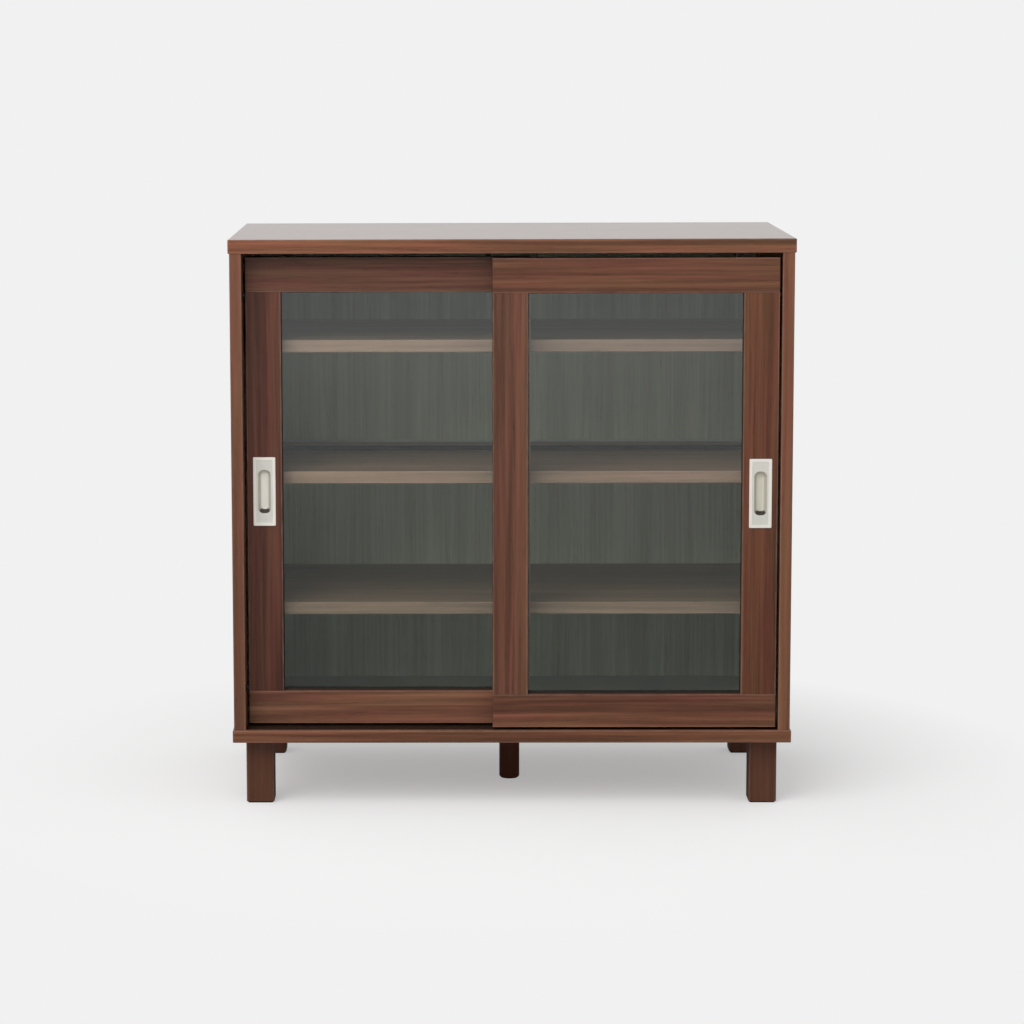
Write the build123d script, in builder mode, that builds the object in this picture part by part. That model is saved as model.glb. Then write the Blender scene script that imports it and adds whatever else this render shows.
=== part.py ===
from build123d import *
import os

# A mizuya, a low kitchen cabinet with two glazed doors that slide past each other.
#
# The frame is X to the right, Y to the back and Z up, in millimetres. The origin is
# on the floor, under the middle of the cabinet. The doors are on its -Y side, and
# both are drawn shut: the right door runs on the front track, the left on the rear.

# ---------------------------------------------------------------- Driving sizes

# The cabinet as a whole
cabinet_width = 800.0
cabinet_depth = 400.0
leg_height = 96.0  # floor to the underside of the bottom panel, pad included
body_height = 722.0  # underside of the bottom panel to the top surface

# Boards
top_thickness = 20.0
bottom_thickness = 18.0
side_thickness = 17.0
shelf_thickness = 18.0
back_thickness = 4.0
panel_overhang = 2.0  # top and bottom panels past the outer faces of the sides
side_setback = 1.5  # front edges of the sides behind those of the panels
edge_round = 1.5
back_inset = 10.0  # rear edges of the boards to the back panel
back_groove_depth = 8.0
back_play = 0.5  # back panel short of the floor of its groove
joint_strip_wall = 1.0  # plastic strip that joins the two sheets of the back
joint_strip_height = 9.0
joint_strip_rise = 4.0  # top of the strip above the fixed shelf
joint_strip_end_play = 0.5

# Shelves, from the cabinet floor upwards, by the heights of their tops above it
lower_shelf_rise = 177.0
fixed_shelf_rise = 367.5
upper_shelf_rise = 557.0
shelf_setback = 58.0  # front edges of the shelves behind the front of the cabinet
shelf_play = 0.75  # a loose shelf short of the sides and of the back panel
plate_stop_height = 6.4  # strip on the fixed shelf that plates stand behind
plate_stop_depth = 8.0
plate_stop_from_back = 102.0  # back panel to the front of the strip
plate_stop_play = 0.5  # its ends short of the sides
plate_stop_ease = 0.6

# Shelf pins and their rows of holes
pin_radius = 2.5
pin_in_side = 8.0
pin_under_shelf = 9.0
pin_hole_depth = 10.0
pin_pitch = 32.0
pin_spare_count = 2  # spare holes above and below the one in use
pin_front_setback = 32.0  # front edge of a shelf to its front pins
pin_rear_setback = 36.0  # back panel to the rear pins
pin_ease = 0.4

# Doors
door_thickness = 21.0
door_setback = 5.0  # front door behind the front edge of the cabinet
door_spacing = 27.0  # front face of the front door to that of the rear door
door_overlap = 54.0
door_side_gap = 3.5
door_top_gap = 7.0
door_bottom_gap = 4.0
top_rail_height = 49.5
bottom_rail_height = 47.5
stile_width = 50.0
frame_ease = 0.4

# Glass and its seal
glass_thickness = 4.0
glass_setback = 8.0  # front face of a door to the front of its glass
glass_in_frame = 8.0  # glass past the edge of the frame's opening
seal_wall = 1.0
seal_floor = 2.0  # rubber between the edge of the glass and the groove
seal_lip = 1.0  # rubber standing out of the groove at the sides and the top
seal_bottom_lip = 3.5  # the same along the bottom

# Flush pulls
pull_width = 32.0
pull_height = 99.0
pull_from_edge = 24.5  # outer edge of a door to the middle of its pull
pull_rise = 342.0  # cabinet floor to the middle of a pull
pull_proud = 1.4
pull_corner = 1.5
pull_rim = 4.5
pull_field_sink = 0.7
pull_rim_ease = 0.5
cup_width = 19.0
cup_height = 64.0
cup_corner = 8.0
cup_floor_width = 11.0
cup_floor_height = 54.0
cup_floor_corner = 5.0
cup_floor_round = 4.0
cup_depth = 9.5
cup_wall = 1.8
pull_play = 0.2

# Tracks
track_margin = 8.0  # middle of a door to the outer edge of the track
track_end_play = 0.5
bottom_track_height = 4.0
bottom_groove_depth = 2.0
top_track_height = 9.5
top_groove_depth = 8.0
track_screw_count = 4  # in each groove
track_screw_from_side = 51.0
track_screw_radius = 1.4
track_screw_head_radius = 2.7
track_screw_head_height = 1.3
track_screw_length = 8.0

# Rollers in the bottom edge of a door
wheel_radius = 8.0
wheel_width = 6.0
wheel_tread_round = 0.8
wheel_dish_radius = 5.5
wheel_hub_radius = 3.0
wheel_dish_depth = 0.8
wheel_lift = 0.1  # wheel above the floor of its groove
wheel_side_gap = 0.3
wheel_groove_gap = 1.0
axle_radius = 1.5
axle_play = 0.05
case_wall = 3.0
case_end = 6.0
case_play = 1.5
roller_from_edge = 60.0  # edge of a door to the middle of a roller or a top guide

# Guides in the top edge of a door
guide_body_radius = 5.0
guide_body_length = 14.0
guide_pin_radius = 3.0
guide_engagement = 6.0  # guide pin inside the groove of the top track
guide_groove_gap = 0.5

# Dowels
dowel_radius = 4.0
dowel_in_panel = 10.0
dowel_in_board = 20.0
carcass_dowel_setbacks = (90.0, 110.0)  # from the front and from the rear of the cabinet
frame_dowel_half_length = 20.0
frame_dowel_spread = 20.0

# Cam fittings that draw the sides to the top and bottom panels
cam_radius = 7.5
cam_depth = 13.0
cam_distance = 24.0  # joint to the middle of the cam
cam_setbacks = (50.0, 60.0)  # from the front and from the rear of the cabinet
cam_slot_length = 9.0
cam_slot_width = 1.6
cam_slot_depth = 2.0
cam_bore_radius = 4.0
cam_bolt_thread_radius = 2.5
cam_bolt_thread_length = 11.0
cam_bolt_shank_radius = 2.8
cam_bolt_head_radius = 3.7
cam_bolt_head_length = 4.0

# Legs
leg_width = 40.0
leg_side_inset = 17.0
leg_front_inset = 33.0
leg_rear_inset = 14.0
leg_round = 3.0
centre_leg_radius = 15.0
centre_leg_setback = 194.0
pad_thickness = 2.0
pad_inset = 2.0
leg_bolt_radius = 4.0
leg_bolt_in_leg = 38.0
insert_radius = 6.0
insert_cover = 1.0  # wood left between an insert and the track

# Screws that hold the back panel to the fixed shelf
back_screw_count = 3
back_screw_from_side = 131.0
back_screw_radius = 1.5
back_screw_length = 16.0
back_screw_head_radius = 3.5
back_screw_head_height = 1.8
back_screw_head_ease = 0.6

# Bumpers that the doors close and open against
bumper_radius = 4.0
bumper_play = 0.3
bumper_from_end = 60.0  # top or bottom panel to the middle of a bumper

# ---------------------------------------------------------------- Worked-out sizes

half_width = cabinet_width / 2
front = -cabinet_depth / 2
rear = cabinet_depth / 2
bottom_under = leg_height
bottom_top = bottom_under + bottom_thickness
top_surface = bottom_under + body_height
top_under = top_surface - top_thickness
side_outer = half_width - panel_overhang
side_inner = side_outer - side_thickness
side_middle = (side_outer + side_inner) / 2
back_rear = rear - back_inset
back_front = back_rear - back_thickness
back_edge = back_groove_depth - back_play  # back panel past the faces of its neighbours

shelf_front = front + shelf_setback
lower_shelf_top = bottom_top + lower_shelf_rise
fixed_shelf_top = bottom_top + fixed_shelf_rise
upper_shelf_top = bottom_top + upper_shelf_rise
fixed_shelf_under = fixed_shelf_top - shelf_thickness
fixed_shelf_middle = (fixed_shelf_top + fixed_shelf_under) / 2
fixed_shelf_rear = back_front - joint_strip_wall
joint_strip_top = fixed_shelf_top + joint_strip_rise
joint_strip_under = joint_strip_top - joint_strip_height
joint_strip_middle = (joint_strip_top + joint_strip_under) / 2

door_bottom = bottom_top + door_bottom_gap
door_top = top_under - door_top_gap
door_outer = side_inner - door_side_gap
front_door_face = front + door_setback
rear_door_face = front_door_face + door_spacing
door_lines = [face + door_thickness / 2 for face in (front_door_face, rear_door_face)]

glass_bottom = door_bottom + bottom_rail_height
glass_top = door_top - top_rail_height
groove_depth = glass_in_frame + seal_floor
groove_width = glass_thickness + 2 * seal_wall
pull_height_middle = bottom_top + pull_rise

track_y = (door_lines[0] - track_margin, door_lines[1] + track_margin)
bottom_groove_floor = bottom_top - bottom_groove_depth
top_groove_ceiling = top_under + top_groove_depth
wheel_z = bottom_groove_floor + wheel_lift + wheel_radius
case_half_length = wheel_radius + case_play + case_end
case_half_width = wheel_width / 2 + wheel_side_gap + case_wall
case_top = wheel_z + wheel_radius + case_play + case_wall
insert_length = bottom_thickness - bottom_track_height - insert_cover
cam_bolt_reach = cam_distance + cam_bolt_head_length / 2
bumper_length = door_side_gap - bumper_play

# ---------------------------------------------------------------- Helpers


def board(x, y, z, mode=Mode.ADD):
    """A squared board in the part being built, from its two limits along each axis."""
    with Locations(((x[0] + x[1]) / 2, (y[0] + y[1]) / 2, (z[0] + z[1]) / 2)):
        Box(abs(x[1] - x[0]), abs(y[1] - y[0]), abs(z[1] - z[0]), mode=mode)


def rods(places, radius, low, high, mode=Mode.ADD):
    """A round bar on each plane in places, along its normal from low to high."""
    for place in places:
        with Locations(place.offset(low)):
            Cylinder(radius, high - low, align=(Align.CENTER, Align.CENTER, Align.MIN), mode=mode)


def track_screw_shapes(places, mode=Mode.ADD):
    """A countersunk screw on each plane in places, or with Mode.SUBTRACT its hole."""
    align = (Align.CENTER, Align.CENTER, Align.MIN)
    for place in places:
        with Locations(place):
            Cone(track_screw_head_radius, track_screw_radius, track_screw_head_height, align=align, mode=mode)
    rods(places, track_screw_radius, 0, track_screw_length, mode)


def save(piece, name):
    """Labels a finished piece and writes its file."""
    piece.part.label = name
    export_step(piece.part, f"parts/{name}.step")


os.makedirs("parts", exist_ok=True)

# ---------------------------------------------------------------- Places of the fasteners
# Each place is a plane on the joint between two boards. Its normal runs from the board
# that is drilled in its end to the board that is drilled in its face.

UP = (0, 0, 1)
DOWN = (0, 0, -1)
FORWARD = (0, -1, 0)
BACKWARD = (0, 1, 0)


def depths(setbacks):
    """The two places in Y that lie these setbacks from the front and from the rear."""
    return (front + setbacks[0], rear - setbacks[1])


def spread(count, from_side):
    """Evenly spaced places in X, the outermost ones this far from the side panels."""
    reach = side_inner - from_side
    return [-reach + 2 * reach * step / (count - 1) for step in range(count)]


def corner_places(setbacks):
    """The joints of both sides with the top and bottom panels, at the given setbacks."""
    return [
        Plane(origin=(sign * side_middle, y, z), z_dir=direction)
        for sign in (-1, 1)
        for y in depths(setbacks)
        for z, direction in ((top_under, UP), (bottom_top, DOWN))
    ]


carcass_dowel_places = corner_places(carcass_dowel_setbacks) + [
    Plane(origin=(sign * side_inner, y, fixed_shelf_middle), z_dir=(sign, 0, 0))
    for sign in (-1, 1)
    for y in depths(carcass_dowel_setbacks)
]
cam_places = corner_places(cam_setbacks)
cam_lock_places = [
    Plane(origin=(sign * side_inner, y, z), z_dir=(sign, 0, 0))
    for sign in (-1, 1)
    for y in depths(cam_setbacks)
    for z in (top_under - cam_distance, bottom_top + cam_distance)
]

leg_x = half_width - leg_side_inset - leg_width / 2
front_leg_y = front + leg_front_inset + leg_width / 2
rear_leg_y = rear - leg_rear_inset - leg_width / 2
centre_leg_y = front + centre_leg_setback
leg_centres = {
    "front_left_leg": (-leg_x, front_leg_y),
    "front_right_leg": (leg_x, front_leg_y),
    "rear_left_leg": (-leg_x, rear_leg_y),
    "rear_right_leg": (leg_x, rear_leg_y),
}
all_leg_centres = [*leg_centres.values(), (0, centre_leg_y)]
leg_places = [Plane(origin=(x, y, bottom_under), z_dir=UP) for x, y in all_leg_centres]

back_screw_planes = [
    Plane(origin=(x, back_rear, fixed_shelf_middle), z_dir=FORWARD)
    for x in spread(back_screw_count, back_screw_from_side)
]


def pin_places(shelf_top, spares):
    """The pins under one shelf, or with spares the whole rows of holes about them."""
    height = shelf_top - shelf_thickness - pin_radius
    return [
        Plane(origin=(sign * side_inner, y, height + step * pin_pitch), z_dir=(sign, 0, 0))
        for sign in (-1, 1)
        for y in (shelf_front + pin_front_setback, back_front - pin_rear_setback)
        for step in range(-spares, spares + 1)
    ]


pin_hole_places = [
    place
    for shelf_top in (upper_shelf_top, lower_shelf_top)
    for place in pin_places(shelf_top, pin_spare_count)
]


def track_screw_planes(z, direction):
    """The screws in both grooves of one track."""
    return [
        Plane(origin=(x, y, z), z_dir=direction)
        for x in spread(track_screw_count, track_screw_from_side)
        for y in door_lines
    ]


bottom_screw_places = track_screw_planes(bottom_groove_floor, DOWN)
top_screw_places = track_screw_planes(top_groove_ceiling, UP)

# ---------------------------------------------------------------- Boards of the carcass


def groove_for_back():
    """Cuts the groove that holds the back panel, where it crosses the part being built."""
    reach = side_inner + back_groove_depth
    board(
        (-reach, reach),
        (back_front, back_rear),
        (bottom_top - back_groove_depth, top_under + back_groove_depth),
        mode=Mode.SUBTRACT,
    )


with BuildPart() as top_panel:
    board((-half_width, half_width), (front, rear), (top_under, top_surface))
    fillet(top_panel.edges(), edge_round)
    groove_for_back()
    board((-side_inner, side_inner), track_y, (top_under, top_under + top_track_height), Mode.SUBTRACT)
    rods(carcass_dowel_places, dowel_radius, 0, dowel_in_panel, Mode.SUBTRACT)
    rods(cam_places, cam_bolt_thread_radius, 0, cam_bolt_thread_length, Mode.SUBTRACT)
    rods(top_screw_places, track_screw_radius, 0, track_screw_length, Mode.SUBTRACT)
save(top_panel, "top_panel")

with BuildPart() as bottom_panel:
    board((-half_width, half_width), (front, rear), (bottom_under, bottom_top))
    fillet(bottom_panel.edges(), edge_round)
    groove_for_back()
    board((-side_inner, side_inner), track_y, (bottom_top - bottom_track_height, bottom_top), Mode.SUBTRACT)
    rods(carcass_dowel_places, dowel_radius, 0, dowel_in_panel, Mode.SUBTRACT)
    rods(cam_places, cam_bolt_thread_radius, 0, cam_bolt_thread_length, Mode.SUBTRACT)
    rods(bottom_screw_places, track_screw_radius, 0, track_screw_length, Mode.SUBTRACT)
    rods(leg_places, insert_radius, 0, insert_length, Mode.SUBTRACT)
save(bottom_panel, "bottom_panel")

for side, sign in (("left", -1), ("right", 1)):
    with BuildPart() as side_panel:
        board((sign * side_inner, sign * side_outer), (front + side_setback, rear), (bottom_top, top_under))
        fillet(side_panel.edges().filter_by(Axis.Z), edge_round)
        groove_for_back()
        rods(carcass_dowel_places, dowel_radius, -dowel_in_board, dowel_in_panel, Mode.SUBTRACT)
        rods(cam_places, cam_bore_radius, -cam_distance, 0, Mode.SUBTRACT)
        rods(cam_lock_places, cam_radius, 0, cam_depth, Mode.SUBTRACT)
        rods(pin_hole_places, pin_radius, 0, pin_hole_depth, Mode.SUBTRACT)
    save(side_panel, f"{side}_side_panel")

# The back is two sheets. They meet in a strip of H section along the fixed shelf.
back_sheets = {
    "upper_back_panel": (joint_strip_middle + joint_strip_wall / 2, top_under + back_edge),
    "lower_back_panel": (bottom_top - back_edge, joint_strip_middle - joint_strip_wall / 2),
}
for name, sheet_z in back_sheets.items():
    with BuildPart() as back_sheet:
        board((-side_inner - back_edge, side_inner + back_edge), (back_front, back_rear), sheet_z)
        rods(back_screw_planes, back_screw_radius, 0, back_screw_length, Mode.SUBTRACT)
    save(back_sheet, name)

with BuildPart() as back_joint_strip:
    strip_x = (joint_strip_end_play - side_inner, side_inner - joint_strip_end_play)
    strip_y = (back_front - joint_strip_wall, back_rear + joint_strip_wall)
    board(strip_x, strip_y, (joint_strip_under, joint_strip_top))
    for sheet_z in back_sheets.values():
        board(strip_x, (back_front, back_rear), sheet_z, Mode.SUBTRACT)
save(back_joint_strip, "back_joint_strip")

with BuildPart() as fixed_shelf:
    board((-side_inner, side_inner), (shelf_front, fixed_shelf_rear), (fixed_shelf_under, fixed_shelf_top))
    fillet(fixed_shelf.edges().filter_by(Axis.X).group_by(Axis.Y)[0], edge_round)
    rods(carcass_dowel_places, dowel_radius, -dowel_in_board, 0, Mode.SUBTRACT)
    rods(back_screw_planes, back_screw_radius, 0, back_screw_length, Mode.SUBTRACT)
save(fixed_shelf, "fixed_shelf")

with BuildPart() as plate_stop:
    stop_reach = side_inner - plate_stop_play
    stop_front = back_front - plate_stop_from_back
    board(
        (-stop_reach, stop_reach),
        (stop_front, stop_front + plate_stop_depth),
        (fixed_shelf_top, fixed_shelf_top + plate_stop_height),
    )
    chamfer(plate_stop.edges().filter_by(Axis.X).group_by(Axis.Z)[-1], plate_stop_ease)
save(plate_stop, "plate_stop")

for level, shelf_top in (("upper", upper_shelf_top), ("lower", lower_shelf_top)):
    with BuildPart() as loose_shelf:
        shelf_reach = side_inner - shelf_play
        board(
            (-shelf_reach, shelf_reach),
            (shelf_front, back_front - shelf_play),
            (shelf_top - shelf_thickness, shelf_top),
        )
        fillet(loose_shelf.edges().filter_by(Axis.X).group_by(Axis.Y)[0], edge_round)
    save(loose_shelf, f"{level}_shelf")

    with BuildPart() as shelf_pins:
        rods(pin_places(shelf_top, 0), pin_radius, -pin_under_shelf, pin_in_side)
        chamfer(shelf_pins.edges().filter_by(GeomType.CIRCLE), pin_ease)
    save(shelf_pins, f"{level}_shelf_pins")

# ---------------------------------------------------------------- Fasteners of the carcass

with BuildPart() as carcass_dowels:
    rods(carcass_dowel_places, dowel_radius, -dowel_in_board, dowel_in_panel)
save(carcass_dowels, "carcass_dowels")

with BuildPart() as cam_bolts:
    rods(cam_places, cam_bolt_thread_radius, 0, cam_bolt_thread_length)
    rods(cam_places, cam_bolt_shank_radius, -cam_bolt_reach, 0)
    rods(cam_places, cam_bolt_head_radius, -cam_bolt_reach, cam_bolt_head_length - cam_bolt_reach)
save(cam_bolts, "cam_bolts")

with BuildPart() as cam_locks:
    rods(cam_lock_places, cam_radius, 0, cam_depth)
    rods(cam_places, cam_bore_radius, -cam_bolt_reach, 0, Mode.SUBTRACT)
    for place in cam_lock_places:
        with Locations(place):
            Box(cam_slot_length, cam_slot_width, 2 * cam_slot_depth, mode=Mode.SUBTRACT)
            Box(cam_slot_width, cam_slot_length, 2 * cam_slot_depth, mode=Mode.SUBTRACT)
save(cam_locks, "cam_locks")

with BuildPart() as back_panel_screws:
    rods(back_screw_planes, back_screw_head_radius, -back_screw_head_height, 0)
    rods(back_screw_planes, back_screw_radius, 0, back_screw_length)
    chamfer(back_panel_screws.edges().group_by(Axis.Y)[-1], back_screw_head_ease)
save(back_panel_screws, "back_panel_screws")

for side, sign in (("left", -1), ("right", 1)):
    bumper_places = [
        Plane(origin=(sign * side_inner, y, z), z_dir=(-sign, 0, 0))
        for y in door_lines
        for z in (bottom_top + bumper_from_end, top_under - bumper_from_end)
    ]
    with BuildPart() as bumpers:
        rods(bumper_places, bumper_radius, 0, bumper_length)
    save(bumpers, f"{side}_side_bumpers")

# ---------------------------------------------------------------- Tracks


def track_profile(plane, outer, height, groove, depth):
    """Fills a sketch with the section of a double track. Its mouth is along local Y = 0."""
    with BuildSketch(plane) as section:
        with Locations(((outer[0] + outer[1]) / 2, height / 2)):
            Rectangle(outer[1] - outer[0], abs(height))
        for line in door_lines:
            with Locations((line, depth / 2)):
                Rectangle(groove, abs(depth), mode=Mode.SUBTRACT)
    return section.sketch


track_length = 2 * (side_inner - track_end_play)
wheel_groove = wheel_width + 2 * wheel_groove_gap
guide_groove = 2 * (guide_pin_radius + guide_groove_gap)

with BuildPart() as bottom_track:
    mouth = Plane(origin=(-track_length / 2, 0, bottom_top), x_dir=BACKWARD, z_dir=(1, 0, 0))
    profile = track_profile(mouth, track_y, -bottom_track_height, wheel_groove, -bottom_groove_depth)
    extrude(profile, amount=track_length)
    track_screw_shapes(bottom_screw_places, Mode.SUBTRACT)
save(bottom_track, "bottom_track")

with BuildPart() as top_track:
    mouth = Plane(origin=(-track_length / 2, 0, top_under), x_dir=BACKWARD, z_dir=(1, 0, 0))
    profile = track_profile(mouth, track_y, top_track_height, guide_groove, top_groove_depth)
    extrude(profile, amount=track_length)
    track_screw_shapes(top_screw_places, Mode.SUBTRACT)
save(top_track, "top_track")

with BuildPart() as track_screws:
    track_screw_shapes(bottom_screw_places + top_screw_places)
save(track_screws, "track_screws")

# ---------------------------------------------------------------- Legs

for name, (x, y) in leg_centres.items():
    with BuildPart() as leg:
        with BuildSketch(Plane.XY.offset(pad_thickness)):
            with Locations((x, y)):
                RectangleRounded(leg_width, leg_width, leg_round)
        extrude(amount=leg_height - pad_thickness)
        chamfer(leg.edges().group_by(Axis.Z)[0], frame_ease)
        rods(leg_places, leg_bolt_radius, -leg_bolt_in_leg, 0, Mode.SUBTRACT)
    save(leg, name)

with BuildPart() as centre_leg:
    with BuildSketch(Plane.XY.offset(pad_thickness)):
        with Locations((0, centre_leg_y)):
            Circle(centre_leg_radius)
    extrude(amount=leg_height - pad_thickness)
    chamfer(centre_leg.edges().group_by(Axis.Z)[0], frame_ease)
    rods(leg_places, leg_bolt_radius, -leg_bolt_in_leg, 0, Mode.SUBTRACT)
save(centre_leg, "centre_leg")

with BuildPart() as foot_pads:
    with BuildSketch(Plane.XY):
        with Locations(*leg_centres.values()):
            RectangleRounded(leg_width - 2 * pad_inset, leg_width - 2 * pad_inset, leg_round)
        with Locations((0, centre_leg_y)):
            Circle(centre_leg_radius - pad_inset)
    extrude(amount=pad_thickness)
save(foot_pads, "foot_pads")

with BuildPart() as leg_bolts:
    rods(leg_places, leg_bolt_radius, -leg_bolt_in_leg, insert_length)
save(leg_bolts, "leg_bolts")

with BuildPart() as leg_inserts:
    rods(leg_places, insert_radius, 0, insert_length)
    rods(leg_places, leg_bolt_radius, 0, insert_length, Mode.SUBTRACT)
save(leg_inserts, "leg_inserts")

# ---------------------------------------------------------------- Doors


def make_door(side, sign, face):
    """Makes one door. sign is -1 for the left and 1 for the right; face is its front's Y."""
    outer = sign * door_outer
    inner = -sign * door_overlap / 2
    door_x = sorted((outer, inner))
    door_y = (face, face + door_thickness)
    opening_x = (door_x[0] + stile_width, door_x[1] - stile_width)
    opening_z = (glass_bottom, glass_top)
    middle_y = face + door_thickness / 2
    groove_front = face + glass_setback - seal_wall

    def grown(limits, amount):
        return (limits[0] - amount, limits[1] + amount)

    def glazing_groove(mode):
        """The space that the groove and the opening of the frame leave together."""
        board(
            grown(opening_x, groove_depth),
            (groove_front, groove_front + groove_width),
            grown(opening_z, groove_depth),
            mode,
        )

    def ease_front(piece):
        """Takes the sharpness off the front edges of a frame member."""
        chamfer(piece.edges().group_by(Axis.Y)[0], frame_ease)

    dowel_places = [
        Plane(origin=(x + offset, middle_y, z), z_dir=direction)
        for x in (door_x[0] + stile_width / 2, door_x[1] - stile_width / 2)
        for offset in (-frame_dowel_spread / 2, frame_dowel_spread / 2)
        for z, direction in ((glass_top, UP), (glass_bottom, DOWN))
    ]
    fitting_x = {"outer": outer - sign * roller_from_edge, "inner": inner + sign * roller_from_edge}
    guide_places = [Plane(origin=(x, middle_y, door_top), z_dir=UP) for x in fitting_x.values()]

    def roller_cases_outline(mode=Mode.ADD):
        """The blocks that hold the wheels, let into the bottom edge of the door."""
        for x in fitting_x.values():
            board(
                (x - case_half_length, x + case_half_length),
                (middle_y - case_half_width, middle_y + case_half_width),
                (door_bottom, case_top),
                mode,
            )

    # The frame: two rails as long as the door is wide, and two stiles between them
    with BuildPart() as top_rail:
        board(door_x, door_y, (glass_top, door_top))
        ease_front(top_rail)
        glazing_groove(Mode.SUBTRACT)
        rods(dowel_places, dowel_radius, 0, frame_dowel_half_length, Mode.SUBTRACT)
        rods(guide_places, guide_body_radius, -guide_body_length, 0, Mode.SUBTRACT)
    save(top_rail, f"{side}_door_top_rail")

    with BuildPart() as bottom_rail:
        board(door_x, door_y, (door_bottom, glass_bottom))
        ease_front(bottom_rail)
        glazing_groove(Mode.SUBTRACT)
        rods(dowel_places, dowel_radius, 0, frame_dowel_half_length, Mode.SUBTRACT)
        roller_cases_outline(Mode.SUBTRACT)
    save(bottom_rail, f"{side}_door_bottom_rail")

    with BuildPart() as inner_stile:
        board((inner, inner + sign * stile_width), door_y, opening_z)
        ease_front(inner_stile)
        glazing_groove(Mode.SUBTRACT)
        rods(dowel_places, dowel_radius, -frame_dowel_half_length, 0, Mode.SUBTRACT)
    save(inner_stile, f"{side}_door_inner_stile")

    pull_x = outer - sign * pull_from_edge
    cup_outer_width = cup_width + 2 * cup_wall
    cup_outer_height = cup_height + 2 * cup_wall
    cup_outer_depth = cup_depth - pull_proud + cup_wall
    door_face_plane = Plane(origin=(pull_x, face, pull_height_middle), x_dir=(1, 0, 0), z_dir=BACKWARD)
    plate_plane = door_face_plane.offset(-pull_proud)

    with BuildPart() as outer_stile:
        board((outer, outer - sign * stile_width), door_y, opening_z)
        ease_front(outer_stile)
        glazing_groove(Mode.SUBTRACT)
        rods(dowel_places, dowel_radius, -frame_dowel_half_length, 0, Mode.SUBTRACT)
        with BuildSketch(door_face_plane):
            RectangleRounded(
                cup_outer_width + 2 * pull_play,
                cup_outer_height + 2 * pull_play,
                cup_corner + cup_wall,
            )
        extrude(amount=cup_outer_depth + pull_play, mode=Mode.SUBTRACT)
    save(outer_stile, f"{side}_door_outer_stile")

    with BuildPart() as frame_dowels:
        rods(dowel_places, dowel_radius, -frame_dowel_half_length, frame_dowel_half_length)
    save(frame_dowels, f"{side}_door_frame_dowels")

    # The glass and the rubber seal that fills the groove around it
    with BuildPart() as glass:
        board(
            grown(opening_x, glass_in_frame),
            (face + glass_setback, face + glass_setback + glass_thickness),
            grown(opening_z, glass_in_frame),
        )
    save(glass, f"{side}_door_glass")

    with BuildPart() as glazing_seal:
        glazing_groove(Mode.ADD)
        board(
            grown(opening_x, -seal_lip),
            door_y,
            (opening_z[0] + seal_bottom_lip, opening_z[1] - seal_lip),
            Mode.SUBTRACT,
        )
        board(
            grown(opening_x, glass_in_frame),
            (face + glass_setback, face + glass_setback + glass_thickness),
            grown(opening_z, glass_in_frame),
            Mode.SUBTRACT,
        )
    save(glazing_seal, f"{side}_door_glazing_seal")

    # The pull: a plate with a raised rim, and a cup for the fingers let into the stile
    with BuildPart() as pull:
        with BuildSketch(plate_plane):
            RectangleRounded(pull_width, pull_height, pull_corner)
        extrude(amount=pull_proud)
        with BuildSketch(door_face_plane):
            RectangleRounded(cup_outer_width, cup_outer_height, cup_corner + cup_wall)
        extrude(amount=cup_outer_depth)
        with BuildSketch(plate_plane):
            RectangleRounded(pull_width - 2 * pull_rim, pull_height - 2 * pull_rim, pull_corner)
        extrude(amount=pull_field_sink, mode=Mode.SUBTRACT)
        chamfer(pull.edges().group_by(Axis.Y)[0], pull_rim_ease)
        with BuildSketch(plate_plane):
            RectangleRounded(cup_width, cup_height, cup_corner)
        with BuildSketch(plate_plane.offset(cup_depth)):
            RectangleRounded(cup_floor_width, cup_floor_height, cup_floor_corner)
        loft(mode=Mode.SUBTRACT)
        cup_floor_y = face - pull_proud + cup_depth
        floor_edges = pull.edges().filter_by_position(Axis.Y, cup_floor_y, cup_floor_y)
        fillet(floor_edges, cup_floor_round)
    save(pull, f"{side}_door_pull")

    # Guides along the top edge, rollers along the bottom edge
    with BuildPart() as top_guides:
        rods(guide_places, guide_body_radius, -guide_body_length, 0)
        rods(guide_places, guide_pin_radius, 0, door_top_gap + guide_engagement)
    save(top_guides, f"{side}_door_top_guides")

    wheel_centres = {place: (x, middle_y, wheel_z) for place, x in fitting_x.items()}
    axle_places = [Plane(origin=centre, z_dir=BACKWARD) for centre in wheel_centres.values()]
    wheel_half_space = wheel_width / 2 + wheel_side_gap

    with BuildPart() as roller_cases:
        roller_cases_outline()
        for x in fitting_x.values():
            board(
                (x - wheel_radius - case_play, x + wheel_radius + case_play),
                (middle_y - wheel_half_space, middle_y + wheel_half_space),
                (door_bottom, case_top - case_wall),
                Mode.SUBTRACT,
            )
        rods(axle_places, axle_radius, -case_half_width, case_half_width, Mode.SUBTRACT)
    save(roller_cases, f"{side}_door_roller_cases")

    with BuildPart() as roller_axles:
        rods(axle_places, axle_radius, -case_half_width, case_half_width)
    save(roller_axles, f"{side}_door_roller_axles")

    for place, centre in wheel_centres.items():
        wheel_plane = Plane(origin=centre, z_dir=BACKWARD)
        with BuildPart() as wheel:
            rods([wheel_plane], wheel_radius, -wheel_width / 2, wheel_width / 2)
            fillet(wheel.edges().filter_by(GeomType.CIRCLE), wheel_tread_round)
            for end in (-1, 1):
                dish = sorted((end * wheel_width / 2, end * (wheel_width / 2 - wheel_dish_depth)))
                rods([wheel_plane], wheel_dish_radius, *dish, Mode.SUBTRACT)
                rods([wheel_plane], wheel_hub_radius, *dish)
            rods([wheel_plane], axle_radius + axle_play, -wheel_width, wheel_width, Mode.SUBTRACT)
        save(wheel, f"{side}_door_{place}_wheel")


make_door("left", -1, rear_door_face)
make_door("right", 1, front_door_face)
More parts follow.
